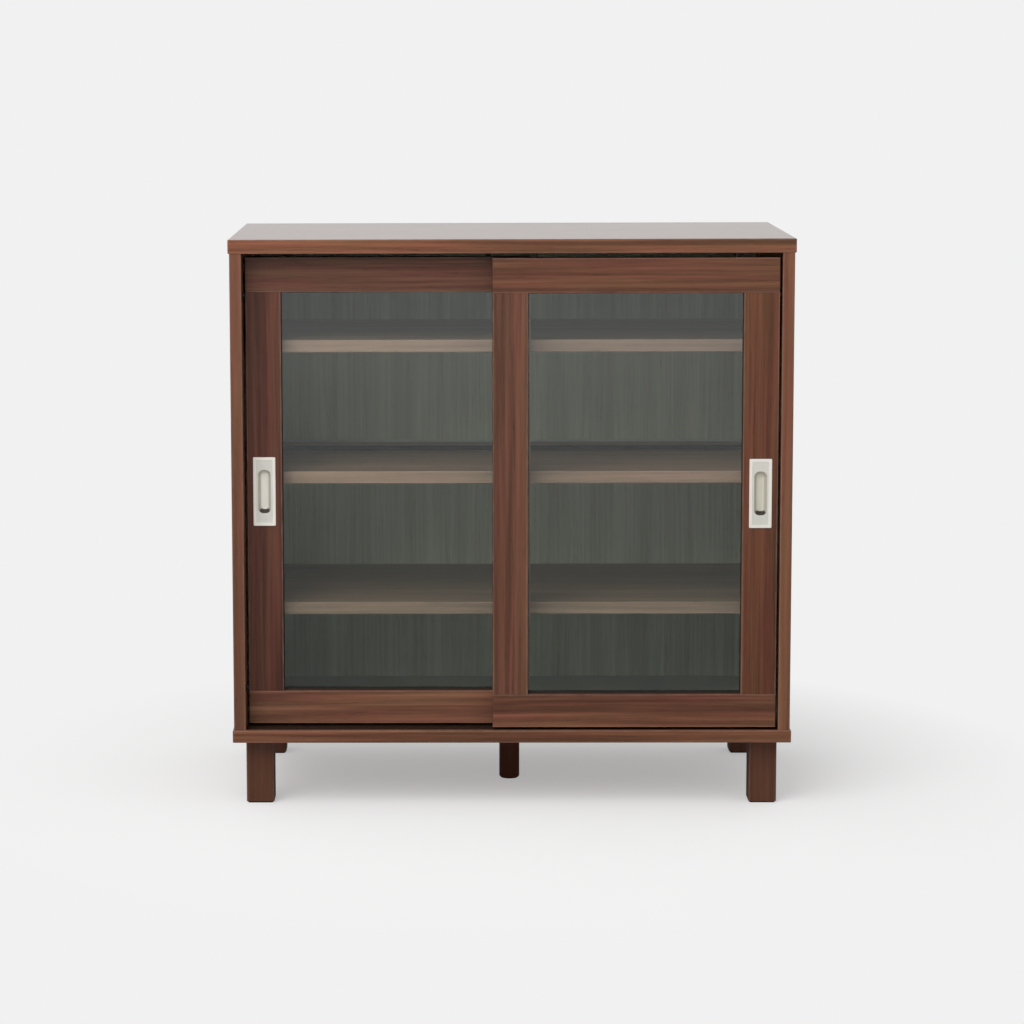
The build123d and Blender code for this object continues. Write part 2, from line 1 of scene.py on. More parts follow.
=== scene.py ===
# %% [markdown]
# # A mizuya: a low kitchen cabinet with two glazed doors that slide past each other
# The shapes of the boards, doors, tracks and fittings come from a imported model, the frame. This file
# dresses them: it gives every surface its finish, swaps the plainest fasteners for detailed ones, and
# sets up the floor, the light and the camera. All lengths are in metres, +Z is up, the doors face -Y.

# %% The frame
from math import pi, radians

import bmesh
import bpy
from mathutils import Matrix, Vector


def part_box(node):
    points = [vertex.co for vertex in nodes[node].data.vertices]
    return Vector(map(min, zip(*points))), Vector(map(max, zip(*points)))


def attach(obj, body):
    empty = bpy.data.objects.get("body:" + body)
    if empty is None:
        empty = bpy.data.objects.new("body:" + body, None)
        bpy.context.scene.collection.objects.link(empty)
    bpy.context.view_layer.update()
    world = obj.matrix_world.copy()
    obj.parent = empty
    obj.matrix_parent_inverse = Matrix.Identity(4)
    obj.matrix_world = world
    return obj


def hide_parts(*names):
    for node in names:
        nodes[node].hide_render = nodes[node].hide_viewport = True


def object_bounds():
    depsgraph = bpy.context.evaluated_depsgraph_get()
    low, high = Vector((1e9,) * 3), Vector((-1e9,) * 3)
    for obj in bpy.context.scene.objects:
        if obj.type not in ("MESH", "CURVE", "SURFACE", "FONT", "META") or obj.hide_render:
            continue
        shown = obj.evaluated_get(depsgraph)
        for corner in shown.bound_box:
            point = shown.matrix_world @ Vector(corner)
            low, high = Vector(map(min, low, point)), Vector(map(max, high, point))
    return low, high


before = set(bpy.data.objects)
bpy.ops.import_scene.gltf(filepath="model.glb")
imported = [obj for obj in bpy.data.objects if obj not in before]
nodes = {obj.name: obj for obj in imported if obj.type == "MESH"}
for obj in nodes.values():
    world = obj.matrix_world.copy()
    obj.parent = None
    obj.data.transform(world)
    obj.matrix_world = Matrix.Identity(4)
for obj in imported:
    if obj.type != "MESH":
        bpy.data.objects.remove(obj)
cad_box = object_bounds()
MM = 0.001

# %% [markdown]
# ## Small helpers for node trees
# A material or a geometry tree is a graph. Adding a node, setting it and linking it takes several
# lines each time, so one helper does all three. A number that goes into a socket sets it, and a socket
# that goes into a socket links the two.

# %% Helpers for node trees
def connect(tree, socket, value):
    """Links a socket to value where that is a socket too, and sets it to value otherwise."""
    if isinstance(value, bpy.types.NodeSocket):
        tree.links.new(value, socket)
    else:
        socket.default_value = value


def add(tree, kind, inputs=None, **settings):
    """Adds a node to tree. Keys of inputs are names or numbers of its sockets."""
    made = tree.nodes.new(kind)
    for name, value in settings.items():
        setattr(made, name, value)
    for key, value in (inputs or {}).items():
        connect(tree, made.inputs[key], value)
    return made


def math(tree, operation, *values):
    """The result of a Math node."""
    return add(tree, "ShaderNodeMath", dict(enumerate(values)), operation=operation).outputs[0]


def vector_math(tree, operation, *values):
    """The vector result of a Vector Math node."""
    made = add(tree, "ShaderNodeVectorMath", dict(enumerate(values)), operation=operation)
    return made.outputs["Vector"]


def apart(tree, vector):
    """The three parts of a vector, by the names X, Y and Z."""
    return add(tree, "ShaderNodeSeparateXYZ", {"Vector": vector}).outputs


def mix(tree, factor, first, second, blend="MIX"):
    """Two colours mixed by factor. The node has sockets for other kinds too, so its colours are
    picked by their type."""
    made = add(tree, "ShaderNodeMix", {0: factor}, data_type="RGBA", blend_type=blend)
    first_colour, second_colour = [socket for socket in made.inputs if socket.type == "RGBA"]
    connect(tree, first_colour, first)
    connect(tree, second_colour, second)
    return next(socket for socket in made.outputs if socket.type == "RGBA")


def multiply_colour(tree, first, second):
    """Two colours multiplied, channel by channel."""
    return mix(tree, 1.0, first, second, "MULTIPLY")


def spread(tree, value, low, high, to_low=0.0, to_high=1.0):
    """Value moved from the range low to high into the range to_low to to_high, and kept inside it."""
    inputs = {"Value": value, "From Min": low, "From Max": high, "To Min": to_low, "To Max": to_high}
    return add(tree, "ShaderNodeMapRange", inputs).outputs["Result"]


def noise(tree, vector, scale, detail=2.0, roughness=0.5):
    """The value of a Noise texture, around 0.5."""
    inputs = {"Vector": vector, "Scale": scale, "Detail": detail, "Roughness": roughness}
    return add(tree, "ShaderNodeTexNoise", inputs).outputs["Fac"]


def colour(red, green, blue):
    """A colour given as on a screen, 0 to 255, turned into the linear values that light needs."""
    def linear(value):
        value /= 255
        return value / 12.92 if value <= 0.04045 else ((value + 0.055) / 1.055) ** 2.4
    return (linear(red), linear(green), linear(blue), 1.0)


# %% Helpers for node groups
def new_group(name, inputs, outputs, tree_kind="ShaderNodeTree"):
    """A node group with named sockets, its input and its output. Inputs give (kind, default) and
    outputs give a kind."""
    group = bpy.data.node_groups.new(name, tree_kind)
    for title, (kind, default) in inputs.items():
        socket = group.interface.new_socket(title, in_out="INPUT", socket_type="NodeSocket" + kind)
        if default is not None:
            socket.default_value = default
    for title, kind in outputs.items():
        group.interface.new_socket(title, in_out="OUTPUT", socket_type="NodeSocket" + kind)
    return group, group.nodes.new("NodeGroupInput").outputs, group.nodes.new("NodeGroupOutput").inputs


def place_group(tree, group, inputs):
    """Places a group in a material with its own values, and returns its outputs."""
    return add(tree, "ShaderNodeGroup", inputs, node_tree=group).outputs


# %% [markdown]
# ## The camera
# The cabinet is seen from the front, a little from the left and from above its top, through a long
# lens. The lens is shifted slightly, as on a view camera, so that the uprights stay nearly upright.
# The turn of the camera is given as yaw, pitch and roll.

# %% Camera
LENS = 107.9 * MM
SENSOR = 36 * MM
CAMERA_PLACE = Vector((-78.7, -4509.5, 1089.6)) * MM
YAW, PITCH, ROLL = radians(0.683), radians(-7.161), radians(0.19)
LENS_SHIFT = (0.09, -0.08)
FAR_CLIP = 200

camera_data = bpy.data.cameras.new("camera")
camera_data.lens = LENS / MM
camera_data.sensor_width = SENSOR / MM
camera_data.shift_x, camera_data.shift_y = LENS_SHIFT
camera_data.clip_end = FAR_CLIP
camera = bpy.data.objects.new("camera", camera_data)
turn = Matrix.Rotation(YAW, 4, "Z") @ Matrix.Rotation(radians(90) + PITCH, 4, "X")
turn = turn @ Matrix.Rotation(-ROLL, 4, "Z")
camera.matrix_world = Matrix.Translation(CAMERA_PLACE) @ turn
bpy.context.scene.collection.objects.link(camera)
bpy.context.scene.camera = camera
print("Camera", round(-CAMERA_PLACE.y, 2), "m in front, lens", camera_data.lens, "mm")

# %% [markdown]
# ## Studio light
# A soft sky comes from everywhere, but more from the front, where a studio is open and bright. One
# large softbox adds a direction: it hangs high at the front left, so the rear door lies in the soft
# shade of the frame around it, and the light falls off a little from the top of the cabinet to its
# feet. The two together light a surface that faces the camera at a plain level, so that a colour
# renders about as it is written. What mirrors see of the room is set apart: pale behind the cabinet,
# and dim in front, where the camera stands. So the sky, and the floor later on, hold a shader for each
# kind of ray, and Light Path chooses between them.

# %% A shader for each kind of ray
def mix_shaders(tree, share, first, second):
    """Two shaders mixed: share is zero for the first and one for the second."""
    return add(tree, "ShaderNodeMixShader", {0: share, 1: first, 2: second}).outputs[0]


def choose_by_ray(tree, lighting, mirrored, looked_at):
    """One shader for the light that falls on things, one for what glossy faces mirror, and one for
    what is looked at, straight or through glass."""
    rays = add(tree, "ShaderNodeLightPath").outputs
    look = math(tree, "MAXIMUM", rays["Is Camera Ray"], rays["Is Transmission Ray"])
    unseen = mix_shaders(tree, rays["Is Glossy Ray"], lighting, mirrored)
    return mix_shaders(tree, look, unseen, looked_at)


# %% Sky
SKY_IN_FRONT, SKY_BEHIND = 0.68, 0.45
SKY_CHANGES_FROM, SKY_CHANGES_TO = -0.8, 0.8  # how far a direction points backwards
ROOM_IN_FRONT, ROOM_BEHIND = 0.16, 0.9
ROOM_CHANGES_FROM, ROOM_CHANGES_TO = -0.6, 0.2
BACKDROP = colour(241, 241, 241)

world = bpy.data.worlds.new("studio")
bpy.context.scene.world = world
world.use_nodes = True
sky = world.node_tree
sky.nodes.clear()
direction = add(sky, "ShaderNodeTexCoord").outputs["Generated"]
backwards = apart(sky, direction)["Y"]
sky_strength = spread(sky, backwards, SKY_CHANGES_FROM, SKY_CHANGES_TO, SKY_IN_FRONT, SKY_BEHIND)
room_strength = spread(sky, backwards, ROOM_CHANGES_FROM, ROOM_CHANGES_TO, ROOM_IN_FRONT, ROOM_BEHIND)
soft_sky = add(sky, "ShaderNodeBackground", {"Strength": sky_strength}).outputs[0]
room = add(sky, "ShaderNodeBackground", {"Strength": room_strength}).outputs[0]
backdrop = add(sky, "ShaderNodeBackground", {"Color": BACKDROP, "Strength": 1.0}).outputs[0]
add(sky, "ShaderNodeOutputWorld", {"Surface": choose_by_ray(sky, soft_sky, room, backdrop)})
print("Soft sky:", SKY_IN_FRONT, "in front,", SKY_BEHIND, "behind")

# %% Lamp
LAMP_PLACE = Vector((-1.6, -2.8, 3.1))
LAMP_AIM = Vector((0.0, 0.0, 0.45))
LAMP_POWER = 92  # watts
LAMP_SIZE = 3.2

lamp_data = bpy.data.lights.new("softbox", "AREA")
lamp_data.energy = LAMP_POWER
lamp_data.size = LAMP_SIZE
lamp = bpy.data.objects.new("softbox", lamp_data)
lamp.location = LAMP_PLACE
lamp.rotation_euler = (LAMP_PLACE - LAMP_AIM).to_track_quat("Z", "Y").to_euler()
bpy.context.scene.collection.objects.link(lamp)
print("Softbox of", LAMP_SIZE, "m,", round((LAMP_PLACE - LAMP_AIM).length, 2), "m away")

# %% [markdown]
# ## The floor
# The floor is one large pale sheet. To the camera it is mostly the plain backdrop colour, so that it
# runs into the background with no horizon. Near the cabinet part of that colour is real shading by
# the lamps, and this part carries the soft shadow: it fades out with the distance, and a plain glow
# makes up for what is missing. Glass and metal see the same sheet a good deal darker, and paler far
# away than close to the cabinet, which is why the panes look mistier towards the top.

# %% The floor's sheet
FLOOR_REACH = 60.0

floor_mesh = bpy.data.meshes.new("floor")
corners = [(x * FLOOR_REACH, y * FLOOR_REACH, 0.0) for x, y in ((-1, -1), (1, -1), (1, 1), (-1, 1))]
floor_mesh.from_pydata(corners, [], [(0, 1, 2, 3)])
floor = bpy.data.objects.new("floor", floor_mesh)
bpy.context.scene.collection.objects.link(floor)
print("Floor:", 2 * FLOOR_REACH, "m square")

# %% The floor's paint
FLOOR_TONE = colour(243, 243, 243)
FLOOR_SHADE = 0.79  # share of real shading near the cabinet
SHADE_NEAR, SHADE_FAR = 0.42, 0.86  # distances from the middle of the cabinet, as are the next
MIST_STARTS, MIST_ENDS = 1.4, 6.9
MIST_NEAR, MIST_FAR = 0.06, 1.1  # how bright glass and metal see the floor at those two
MIST_TINT = (0.97, 1.0, 0.98, 1.0)
OPEN_FLOOR = 0.75  # what the lamps alone make of the open floor, as a share of the backdrop

floor_paint = bpy.data.materials.new("floor paint")
floor_paint.use_nodes = True
tree = floor_paint.node_tree
tree.nodes.clear()
place = add(tree, "ShaderNodeTexCoord").outputs["Object"]
distance = add(tree, "ShaderNodeVectorMath", {0: place}, operation="LENGTH").outputs["Value"]
shade_share = spread(tree, distance, SHADE_NEAR, SHADE_FAR, FLOOR_SHADE, 0.0)
matt = add(tree, "ShaderNodeBsdfDiffuse", {"Color": FLOOR_TONE}).outputs[0]
shaded_part = add(tree, "ShaderNodeMixShader", {0: shade_share, 2: matt}).outputs[0]
glow_strength = math(tree, "SUBTRACT", 1.0, math(tree, "MULTIPLY", shade_share, OPEN_FLOOR))
glow = add(tree, "ShaderNodeEmission", {"Color": BACKDROP, "Strength": glow_strength}).outputs[0]
looked_at = add(tree, "ShaderNodeAddShader", {0: shaded_part, 1: glow}).outputs[0]
mist = spread(tree, distance, MIST_STARTS, MIST_ENDS, MIST_NEAR, MIST_FAR)
mirrored = add(tree, "ShaderNodeEmission", {"Color": MIST_TINT, "Strength": mist}).outputs[0]
add(tree, "ShaderNodeOutputMaterial", {"Surface": choose_by_ray(tree, matt, mirrored, looked_at)})
floor_mesh.materials.append(floor_paint)
print("The floor's shadow fades out from", SHADE_NEAR, "to", SHADE_FAR, "m")

# %% [markdown]
# ## Walnut, as one node group
# Every board of this cabinet is faced with the same wood, so its grain is made once, as a group, and
# each board places it with its own values. Wood is a stretched pattern: noise that is drawn out along
# the grain gives growth lines, a slower noise bends them, and a third shifts the hue from yellow-brown
# to red-brown. Fine cells that are long and thin give the open pores. The group puts out a colour, a
# roughness and a height for the bump, and the shader itself stays in the material.

# %% Walnut grain: the group and the bend of its lines
BEND_STRETCH, BEND_SCALE, BEND_REACH = 0.16, 9.0, 14 * MM

grain, source, sink = new_group(
    "walnut grain",
    {
        "Vector": ("Vector", None),
        "Dark": ("Color", colour(60, 36, 28)),
        "Middle": ("Color", colour(104, 68, 54)),
        "Light": ("Color", colour(150, 108, 84)),
        "Line Width": ("Float", 6 * MM),
        "Waviness": ("Float", 1.0),
        "Contrast": ("Float", 1.0),
        "Hue Change": ("Float", 0.6),
        "Pores": ("Float", 1.0),
        "Roughness": ("Float", 0.42),
    },
    {"Color": "Color", "Roughness": "Float", "Height": "Float"},
)


def drawn_out(vector, stretch):
    """A place in the grain, squeezed along X, so that a pattern read there is drawn out along X."""
    return vector_math(grain, "MULTIPLY", vector, (stretch, 1.0, 1.0))


bend_place = drawn_out(source["Vector"], BEND_STRETCH)
bend_inputs = {"Vector": bend_place, "Scale": BEND_SCALE, "Detail": 1.0}
bend = add(grain, "ShaderNodeTexNoise", bend_inputs).outputs["Color"]
bend = vector_math(grain, "SUBTRACT", bend, (0.5, 0.5, 0.5))
bend = vector_math(grain, "MULTIPLY", bend, (0.0, BEND_REACH, BEND_REACH))
bend = add(grain, "ShaderNodeVectorMath", {0: bend, "Scale": source["Waviness"]}, operation="SCALE")
bent = vector_math(grain, "ADD", source["Vector"], bend.outputs["Vector"])
print("Grain lines bend by up to", BEND_REACH / 2 / MM, "mm")

# %% Walnut grain: growth lines and their colours
LINE_STRETCH, LINE_DETAIL, LINE_ROUGHNESS = 0.018, 3.0, 0.55
FIBRE_STRETCH, FIBRE_SCALE, FIBRE_SHARE = 0.02, 1100.0, 0.25
BAND_STRETCH, BAND_SCALE, BAND_SHARE = 0.03, 34.0, 0.8
DARK_TONE, MIDDLE_TONE, LIGHT_TONE = 0.22, 0.5, 0.78
HUE_STRETCH, HUE_SCALE = 0.05, 90.0
YELLOWEST, REDDEST = 0.36, 0.64  # values of the hue's noise
REDDER = (1.14, 0.9, 0.92, 1.0)
YELLOWER = (0.96, 1.08, 0.86, 1.0)


def around_zero(value):
    """A noise, moved from around a half to around zero."""
    return math(grain, "SUBTRACT", value, 0.5)


fineness = math(grain, "DIVIDE", 1.0, source["Line Width"])
lines = noise(grain, drawn_out(bent, LINE_STRETCH), fineness, LINE_DETAIL, LINE_ROUGHNESS)
fibres = noise(grain, drawn_out(bent, FIBRE_STRETCH), FIBRE_SCALE, 1.0)
bands = noise(grain, drawn_out(bent, BAND_STRETCH), BAND_SCALE, 1.0)
tone = math(grain, "ADD", lines, math(grain, "MULTIPLY", around_zero(fibres), FIBRE_SHARE))
tone = math(grain, "ADD", tone, math(grain, "MULTIPLY", around_zero(bands), BAND_SHARE))
tone = math(grain, "MULTIPLY_ADD", around_zero(tone), source["Contrast"], 0.5)
wood = mix(grain, spread(grain, tone, DARK_TONE, MIDDLE_TONE), source["Dark"], source["Middle"])
wood = mix(grain, spread(grain, tone, MIDDLE_TONE, LIGHT_TONE), wood, source["Light"])
hue = noise(grain, drawn_out(bent, HUE_STRETCH), HUE_SCALE, 2.0)
hue = around_zero(spread(grain, hue, YELLOWEST, REDDEST))
hue = math(grain, "MULTIPLY_ADD", hue, source["Hue Change"], 0.5)
wood = mix(grain, hue, multiply_colour(grain, wood, YELLOWER), multiply_colour(grain, wood, REDDER))
print("Grain lines are", round(1 / LINE_STRETCH), "times as long as they are wide")

# %% Walnut grain: pores, and what the group puts out
PORE_STRETCH, PORE_SCALE = 0.03, 900.0
PORE_RIM, PORE_FLOOR = 0.26, 0.14  # distances from the middle of a cell
FEW_PORES_TONE, MANY_PORES_TONE, FEWEST_PORES = 0.62, 0.4, 0.15
PORE_TINT = (0.45, 0.4, 0.38, 1.0)
PORE_STRENGTH = 0.7
SHEEN_CHANGE = 0.22
FIBRE_HEIGHT = 0.35

pore_inputs = {"Vector": drawn_out(bent, PORE_STRETCH), "Scale": PORE_SCALE}
cells = add(grain, "ShaderNodeTexVoronoi", pore_inputs).outputs["Distance"]
how_many = spread(grain, lines, FEW_PORES_TONE, MANY_PORES_TONE, FEWEST_PORES, 1.0)
pores = math(grain, "MULTIPLY", spread(grain, cells, PORE_RIM, PORE_FLOOR), how_many)
pores = math(grain, "MULTIPLY", pores, source["Pores"])
pore_share = math(grain, "MULTIPLY", pores, PORE_STRENGTH)
wood = mix(grain, pore_share, wood, multiply_colour(grain, wood, PORE_TINT))
sheen = math(grain, "MULTIPLY", math(grain, "SUBTRACT", 0.5, fibres), SHEEN_CHANGE)
height = math(grain, "SUBTRACT", math(grain, "MULTIPLY", fibres, FIBRE_HEIGHT), pores)
grain.links.new(wood, sink["Color"])
grain.links.new(math(grain, "ADD", source["Roughness"], sheen), sink["Roughness"])
grain.links.new(height, sink["Height"])
print("The grain group has", len(grain.nodes), "nodes")

# %% [markdown]
# ## Worn and highlit edges, as a second group
# Along the edges of a board the stain is a little thinner and the lacquer is rubbed smooth, so the
# edge reads as a fine pale line. The line is also painted highlight, where the rounded arris catches
# the light. A board is a box, and its box is known, so the group measures how far a point is from
# each pair of faces: on an edge two of those distances are small at once.

# %% Worn and highlit edges
PATCH_SCALE, PATCH_DETAIL = 45.0, 3.0
PATCH_LOW, PATCH_HIGH = 0.35, 0.65  # values of the patches' noise

edge_wear_and_highlight, source, sink = new_group(
    "worn edges",
    {
        "Vector": ("Vector", None),
        "Centre": ("Vector", None),
        "Half Size": ("Vector", None),
        "Width": ("Float", 2.6 * MM),
        "Patchiness": ("Float", 0.6),
    },
    {"Mask": "Float"},
)
from_centre = vector_math(edge_wear_and_highlight, "SUBTRACT", source["Vector"], source["Centre"])
from_centre = vector_math(edge_wear_and_highlight, "ABSOLUTE", from_centre)
depths = apart(edge_wear_and_highlight, vector_math(edge_wear_and_highlight, "SUBTRACT", source["Half Size"], from_centre))
smaller = math(edge_wear_and_highlight, "MINIMUM", depths["X"], depths["Y"])
larger = math(edge_wear_and_highlight, "MAXIMUM", depths["X"], depths["Y"])
second = math(edge_wear_and_highlight, "MAXIMUM", smaller, math(edge_wear_and_highlight, "MINIMUM", larger, depths["Z"]))
near_edge = math(edge_wear_and_highlight, "SUBTRACT", 1.0, math(edge_wear_and_highlight, "DIVIDE", second, source["Width"]))
near_edge = math(edge_wear_and_highlight, "MAXIMUM", near_edge, 0.0)
patches = noise(edge_wear_and_highlight, source["Vector"], PATCH_SCALE, PATCH_DETAIL)
patches = spread(edge_wear_and_highlight, patches, PATCH_LOW, PATCH_HIGH)
patches = math(edge_wear_and_highlight, "SUBTRACT", 1.0, math(edge_wear_and_highlight, "MULTIPLY", patches, source["Patchiness"]))
edge_wear_and_highlight.links.new(math(edge_wear_and_highlight, "MULTIPLY", near_edge, patches), sink["Mask"])
print("The group for worn edges has", len(edge_wear_and_highlight.nodes), "nodes")

# %% [markdown]
# ## Facing a board
# A pattern that is read from Object coordinates sits still in the board. A Mapping node turns it, so
# that its long direction follows the grain, and shifts it, so that no two boards show the same piece
# of the tree. The ends of the top and bottom panels are banded with strips, whose grain runs along
# the end and not into it, so there the pattern is turned once more.

# %% Helpers for materials
finished = {}


def paint(name, node_names):
    """An empty material that is put on the given CAD nodes, and its node tree."""
    material = bpy.data.materials.new(name)
    material.use_nodes = True
    material.node_tree.nodes.clear()
    for node_name in node_names:
        node = nodes[node_name]
        node.data.materials.clear()
        node.data.materials.append(material)
        finished[node_name] = name
    return material, material.node_tree


def principled(tree, inputs):
    """The Principled shader, linked to the material's output."""
    shader = add(tree, "ShaderNodeBsdfPrincipled", inputs)
    add(tree, "ShaderNodeOutputMaterial", {"Surface": shader.outputs[0]})


# %% How the pattern lies in a board
TURNS = {"X": (0, 0, 0), "Y": (0, 0, radians(-90)), "Z": (0, radians(90), 0)}
BOARD_SHIFT = Vector((0.731, 0.417, 0.593))
END_FACING = 0.8  # a face is an end where it points this much along X
STRIP_SHIFT = 0.5  # how many board shifts the strips on the ends lie from their board


def lay_pattern(tree, where, facing, along, shift, banded):
    """The place in the wood's pattern of each place in a board."""
    def turned(axis, moves):
        inputs = {"Vector": where, "Location": BOARD_SHIFT * moves, "Rotation": TURNS[axis]}
        return add(tree, "ShaderNodeMapping", inputs).outputs["Vector"]

    if not banded:
        return turned(along, shift)
    on_end = math(tree, "GREATER_THAN", math(tree, "ABSOLUTE", facing["X"]), END_FACING)
    inputs = {0: on_end, 4: turned(along, shift), 5: turned("Y", shift + STRIP_SHIFT)}
    return add(tree, "ShaderNodeMix", inputs, data_type="VECTOR").outputs[1]


# %% Masks and tones of a board
EDGE_REACH = 20 * MM  # how far the edges of a hidden end are moved out of the board
FACES_FROM, FACES_TO = 0.5, 0.9  # how much a face points a way where its mask starts and is full
LIGHT_REACH = (1.25, 1.4, 1.35)  # how much further from the middle light wood lies than dark wood


def pointing(tree, amount, most=1.0):
    """A mask of the faces that point one way, from how much they do."""
    return spread(tree, amount, FACES_FROM, FACES_TO, 0.0, most)


def worn_and_highlit_edges(tree, where, node_name, along, open_ends):
    """The mask of a board's worn edges."""
    low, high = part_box(node_name)
    half_size = (high - low) / 2
    if not open_ends:
        half_size["XYZ".index(along)] += EDGE_REACH
    inputs = {"Vector": where, "Centre": (low + high) / 2, "Half Size": half_size}
    return place_group(tree, edge_wear_and_highlight, inputs)["Mask"]


def tones(middle, contrast=0.45):
    """Dark, middle and light wood around one colour. The light one is a little yellower."""
    dark = [value * (1 - contrast) for value in middle[:3]]
    light = [value * (1 + contrast * more) for value, more in zip(middle[:3], LIGHT_REACH)]
    return (*dark, 1.0), middle, (*light, 1.0)


# %% Facing a board with wood
# Part wear, part painted highlight: the pale colour of a board's edges, where the arris catches light.
RUBBED_EDGE_AND_HIGHLIGHT = colour(166, 134, 120)
REAR_FLECK = colour(116, 84, 58)
FLECK_SCALE, FLECK_DETAIL, FLECK_ROUGHNESS = 700.0, 3.0, 0.7
FLECK_LOW, FLECK_HIGH = 0.3, 0.7  # values of the flecks' noise
LINING_GRAIN = 0.15  # how much of the board's own colour shows in its lining
WOOD_BUMP = 0.35
PORE_DEPTH = 0.12 * MM
COAT_ROUGHNESS = 0.12


def face_with_wood(node_name, along, middle, shift, gloss=0.40, banded=False, line_width=6 * MM,
                   contrast=1.0, waviness=1.0, hue_change=0.6, wear_and_highlight=0.45, open_ends=False,
                   flat_painted_shade=1.0, specular=0.3, coat=0.0, rear=None, lining=None):
    """Gives one board its own wood material. Along is the axis of the grain, middle its mean colour,
    open_ends says that the ends of the board stand free and get the pale edge lines too,
    flat_painted_shade darkens or lightens the flat faces against the edges as painted shade, coat is
    a coat of lacquer on the face that points up, rear is the colour of a bare rear face, and lining
    that of the top face behind the doors."""
    _, tree = paint(node_name.replace("_", " ") + " wood", [node_name])
    coordinates = add(tree, "ShaderNodeTexCoord").outputs
    where = coordinates["Object"]
    facing = apart(tree, coordinates["Normal"])
    dark, middle, light = tones(middle)
    wood = place_group(
        tree,
        grain,
        {
            "Vector": lay_pattern(tree, where, facing, along, shift, banded),
            "Dark": dark,
            "Middle": middle,
            "Light": light,
            "Line Width": line_width,
            "Contrast": contrast,
            "Waviness": waviness,
            "Hue Change": hue_change,
            "Roughness": gloss,
        },
    )
    # The pale edge line is part wear and part painted highlight.
    worn_and_highlit = math(tree, "MULTIPLY", worn_and_highlit_edges(tree, where, node_name, along, open_ends), wear_and_highlight)
    surface = mix(tree, worn_and_highlit, wood["Color"], RUBBED_EDGE_AND_HIGHLIGHT)
    if rear:
        fleck = noise(tree, where, FLECK_SCALE, FLECK_DETAIL, FLECK_ROUGHNESS)
        fleck = spread(tree, fleck, FLECK_LOW, FLECK_HIGH)
        surface = mix(tree, pointing(tree, facing["Y"]), surface, mix(tree, fleck, rear, REAR_FLECK))
    if lining:
        behind_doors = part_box("bottom_track")[1].y
        inside = math(tree, "GREATER_THAN", apart(tree, where)["Y"], behind_doors)
        inside = math(tree, "MULTIPLY", inside, pointing(tree, facing["Z"]))
        surface = mix(tree, inside, surface, mix(tree, LINING_GRAIN, lining, wood["Color"]))
    # Painted shade: the flat faces, tops and undersides, are made darker than the edges by
    # flat_painted_shade.
    if flat_painted_shade != 1:
        flat = pointing(tree, math(tree, "ABSOLUTE", facing["Z"]))
        shaded = multiply_colour(tree, surface, (flat_painted_shade, flat_painted_shade, flat_painted_shade, 1.0))
        surface = mix(tree, flat, surface, shaded)
    bump_inputs = {"Strength": WOOD_BUMP, "Distance": PORE_DEPTH, "Height": wood["Height"]}
    principled(
        tree,
        {
            "Base Color": surface,
            "Roughness": wood["Roughness"],
            "Specular IOR Level": specular,
            "Coat Weight": pointing(tree, facing["Z"], coat) if coat else 0.0,
            "Coat Roughness": COAT_ROUGHNESS,
            "Normal": add(tree, "ShaderNodeBump", bump_inputs).outputs["Normal"],
        },
    )


# %% Colours of the boards
TOP_WOOD = colour(126, 82, 60)
SIDE_WOODS = {"left_side_panel": colour(111, 73, 57), "right_side_panel": colour(118, 77, 59)}
BOTTOM_WOOD = colour(124, 82, 61)
# The lower shelf is painted darker than the two above it: painted shade, where less light reaches.
SHELF_BOARDS_AND_SHADE = {
    "upper_shelf": colour(135, 108, 100),
    "fixed_shelf": colour(138, 110, 100),
    "lower_shelf": colour(124, 101, 90),
}
BACK_BOARD = colour(157, 158, 149)
FIBRE_BOARD = colour(150, 112, 80)
STAINED_LEG = colour(94, 61, 47)
# Stain with painted shade: the centre leg is darker and redder, for the shade under the cabinet.
CENTRE_LEG_STAIN_AND_SHADE = colour(88, 42, 24)
ALMOST_BLACK = colour(12, 9, 8)
print("Shelf boards:", len(SHELF_BOARDS_AND_SHADE))

# %% [markdown]
# ### The carcass
# The top and bottom panels carry the grain from side to side, the side panels carry it upwards.
# The shelves are laminate of a paler, greyer brown. Their flat faces are painted darker than their
# edges, as painted shade, and the lower shelf is painted darker than the two above it, as painted
# shade. The back, and the cabinet's floor behind the doors, are a grey laminate, and the legs are
# stained darker. The centre leg's colour is darker and redder still: painted shade under the cabinet.
# The laminate of the back covers its front only: its rear face is bare fibre board, flecked and matt.
# The thin strip on the fixed shelf, which plates stand behind, is coloured almost black. One function
# faces all of them, and what a board has of its own is an input, so a change to the wood reaches
# every board at once.

# %% Carcass boards
face_with_wood("top_panel", "X", TOP_WOOD, 1, gloss=0.24, banded=True, open_ends=True, coat=0.6)
face_with_wood("bottom_panel", "X", BOTTOM_WOOD, 2, banded=True, open_ends=True, lining=BACK_BOARD)
for count, (name, wood_colour) in enumerate(SIDE_WOODS.items()):
    face_with_wood(name, "Z", wood_colour, 3 + count, contrast=0.6)
for count, (name, wood_colour) in enumerate(SHELF_BOARDS_AND_SHADE.items()):
    face_with_wood(name, "X", wood_colour, 5 + count, gloss=0.5, contrast=0.6, hue_change=0.2,
                   flat_painted_shade=0.76)
for name in ("upper_back_panel", "lower_back_panel"):
    face_with_wood(name, "Z", BACK_BOARD, 8, gloss=0.55, line_width=4 * MM, contrast=0.35,
                   hue_change=0.15, rear=FIBRE_BOARD)
legs = sorted(name for name in nodes if name.endswith("_leg"))
for count, name in enumerate(legs):
    # The centre leg gets painted shade under the cabinet on top of its stain.
    leg_stain_and_shade = CENTRE_LEG_STAIN_AND_SHADE if name == "centre_leg" else STAINED_LEG
    face_with_wood(name, "Z", leg_stain_and_shade, 9 + count, gloss=0.38, contrast=0.35, waviness=0.5, hue_change=0.3)
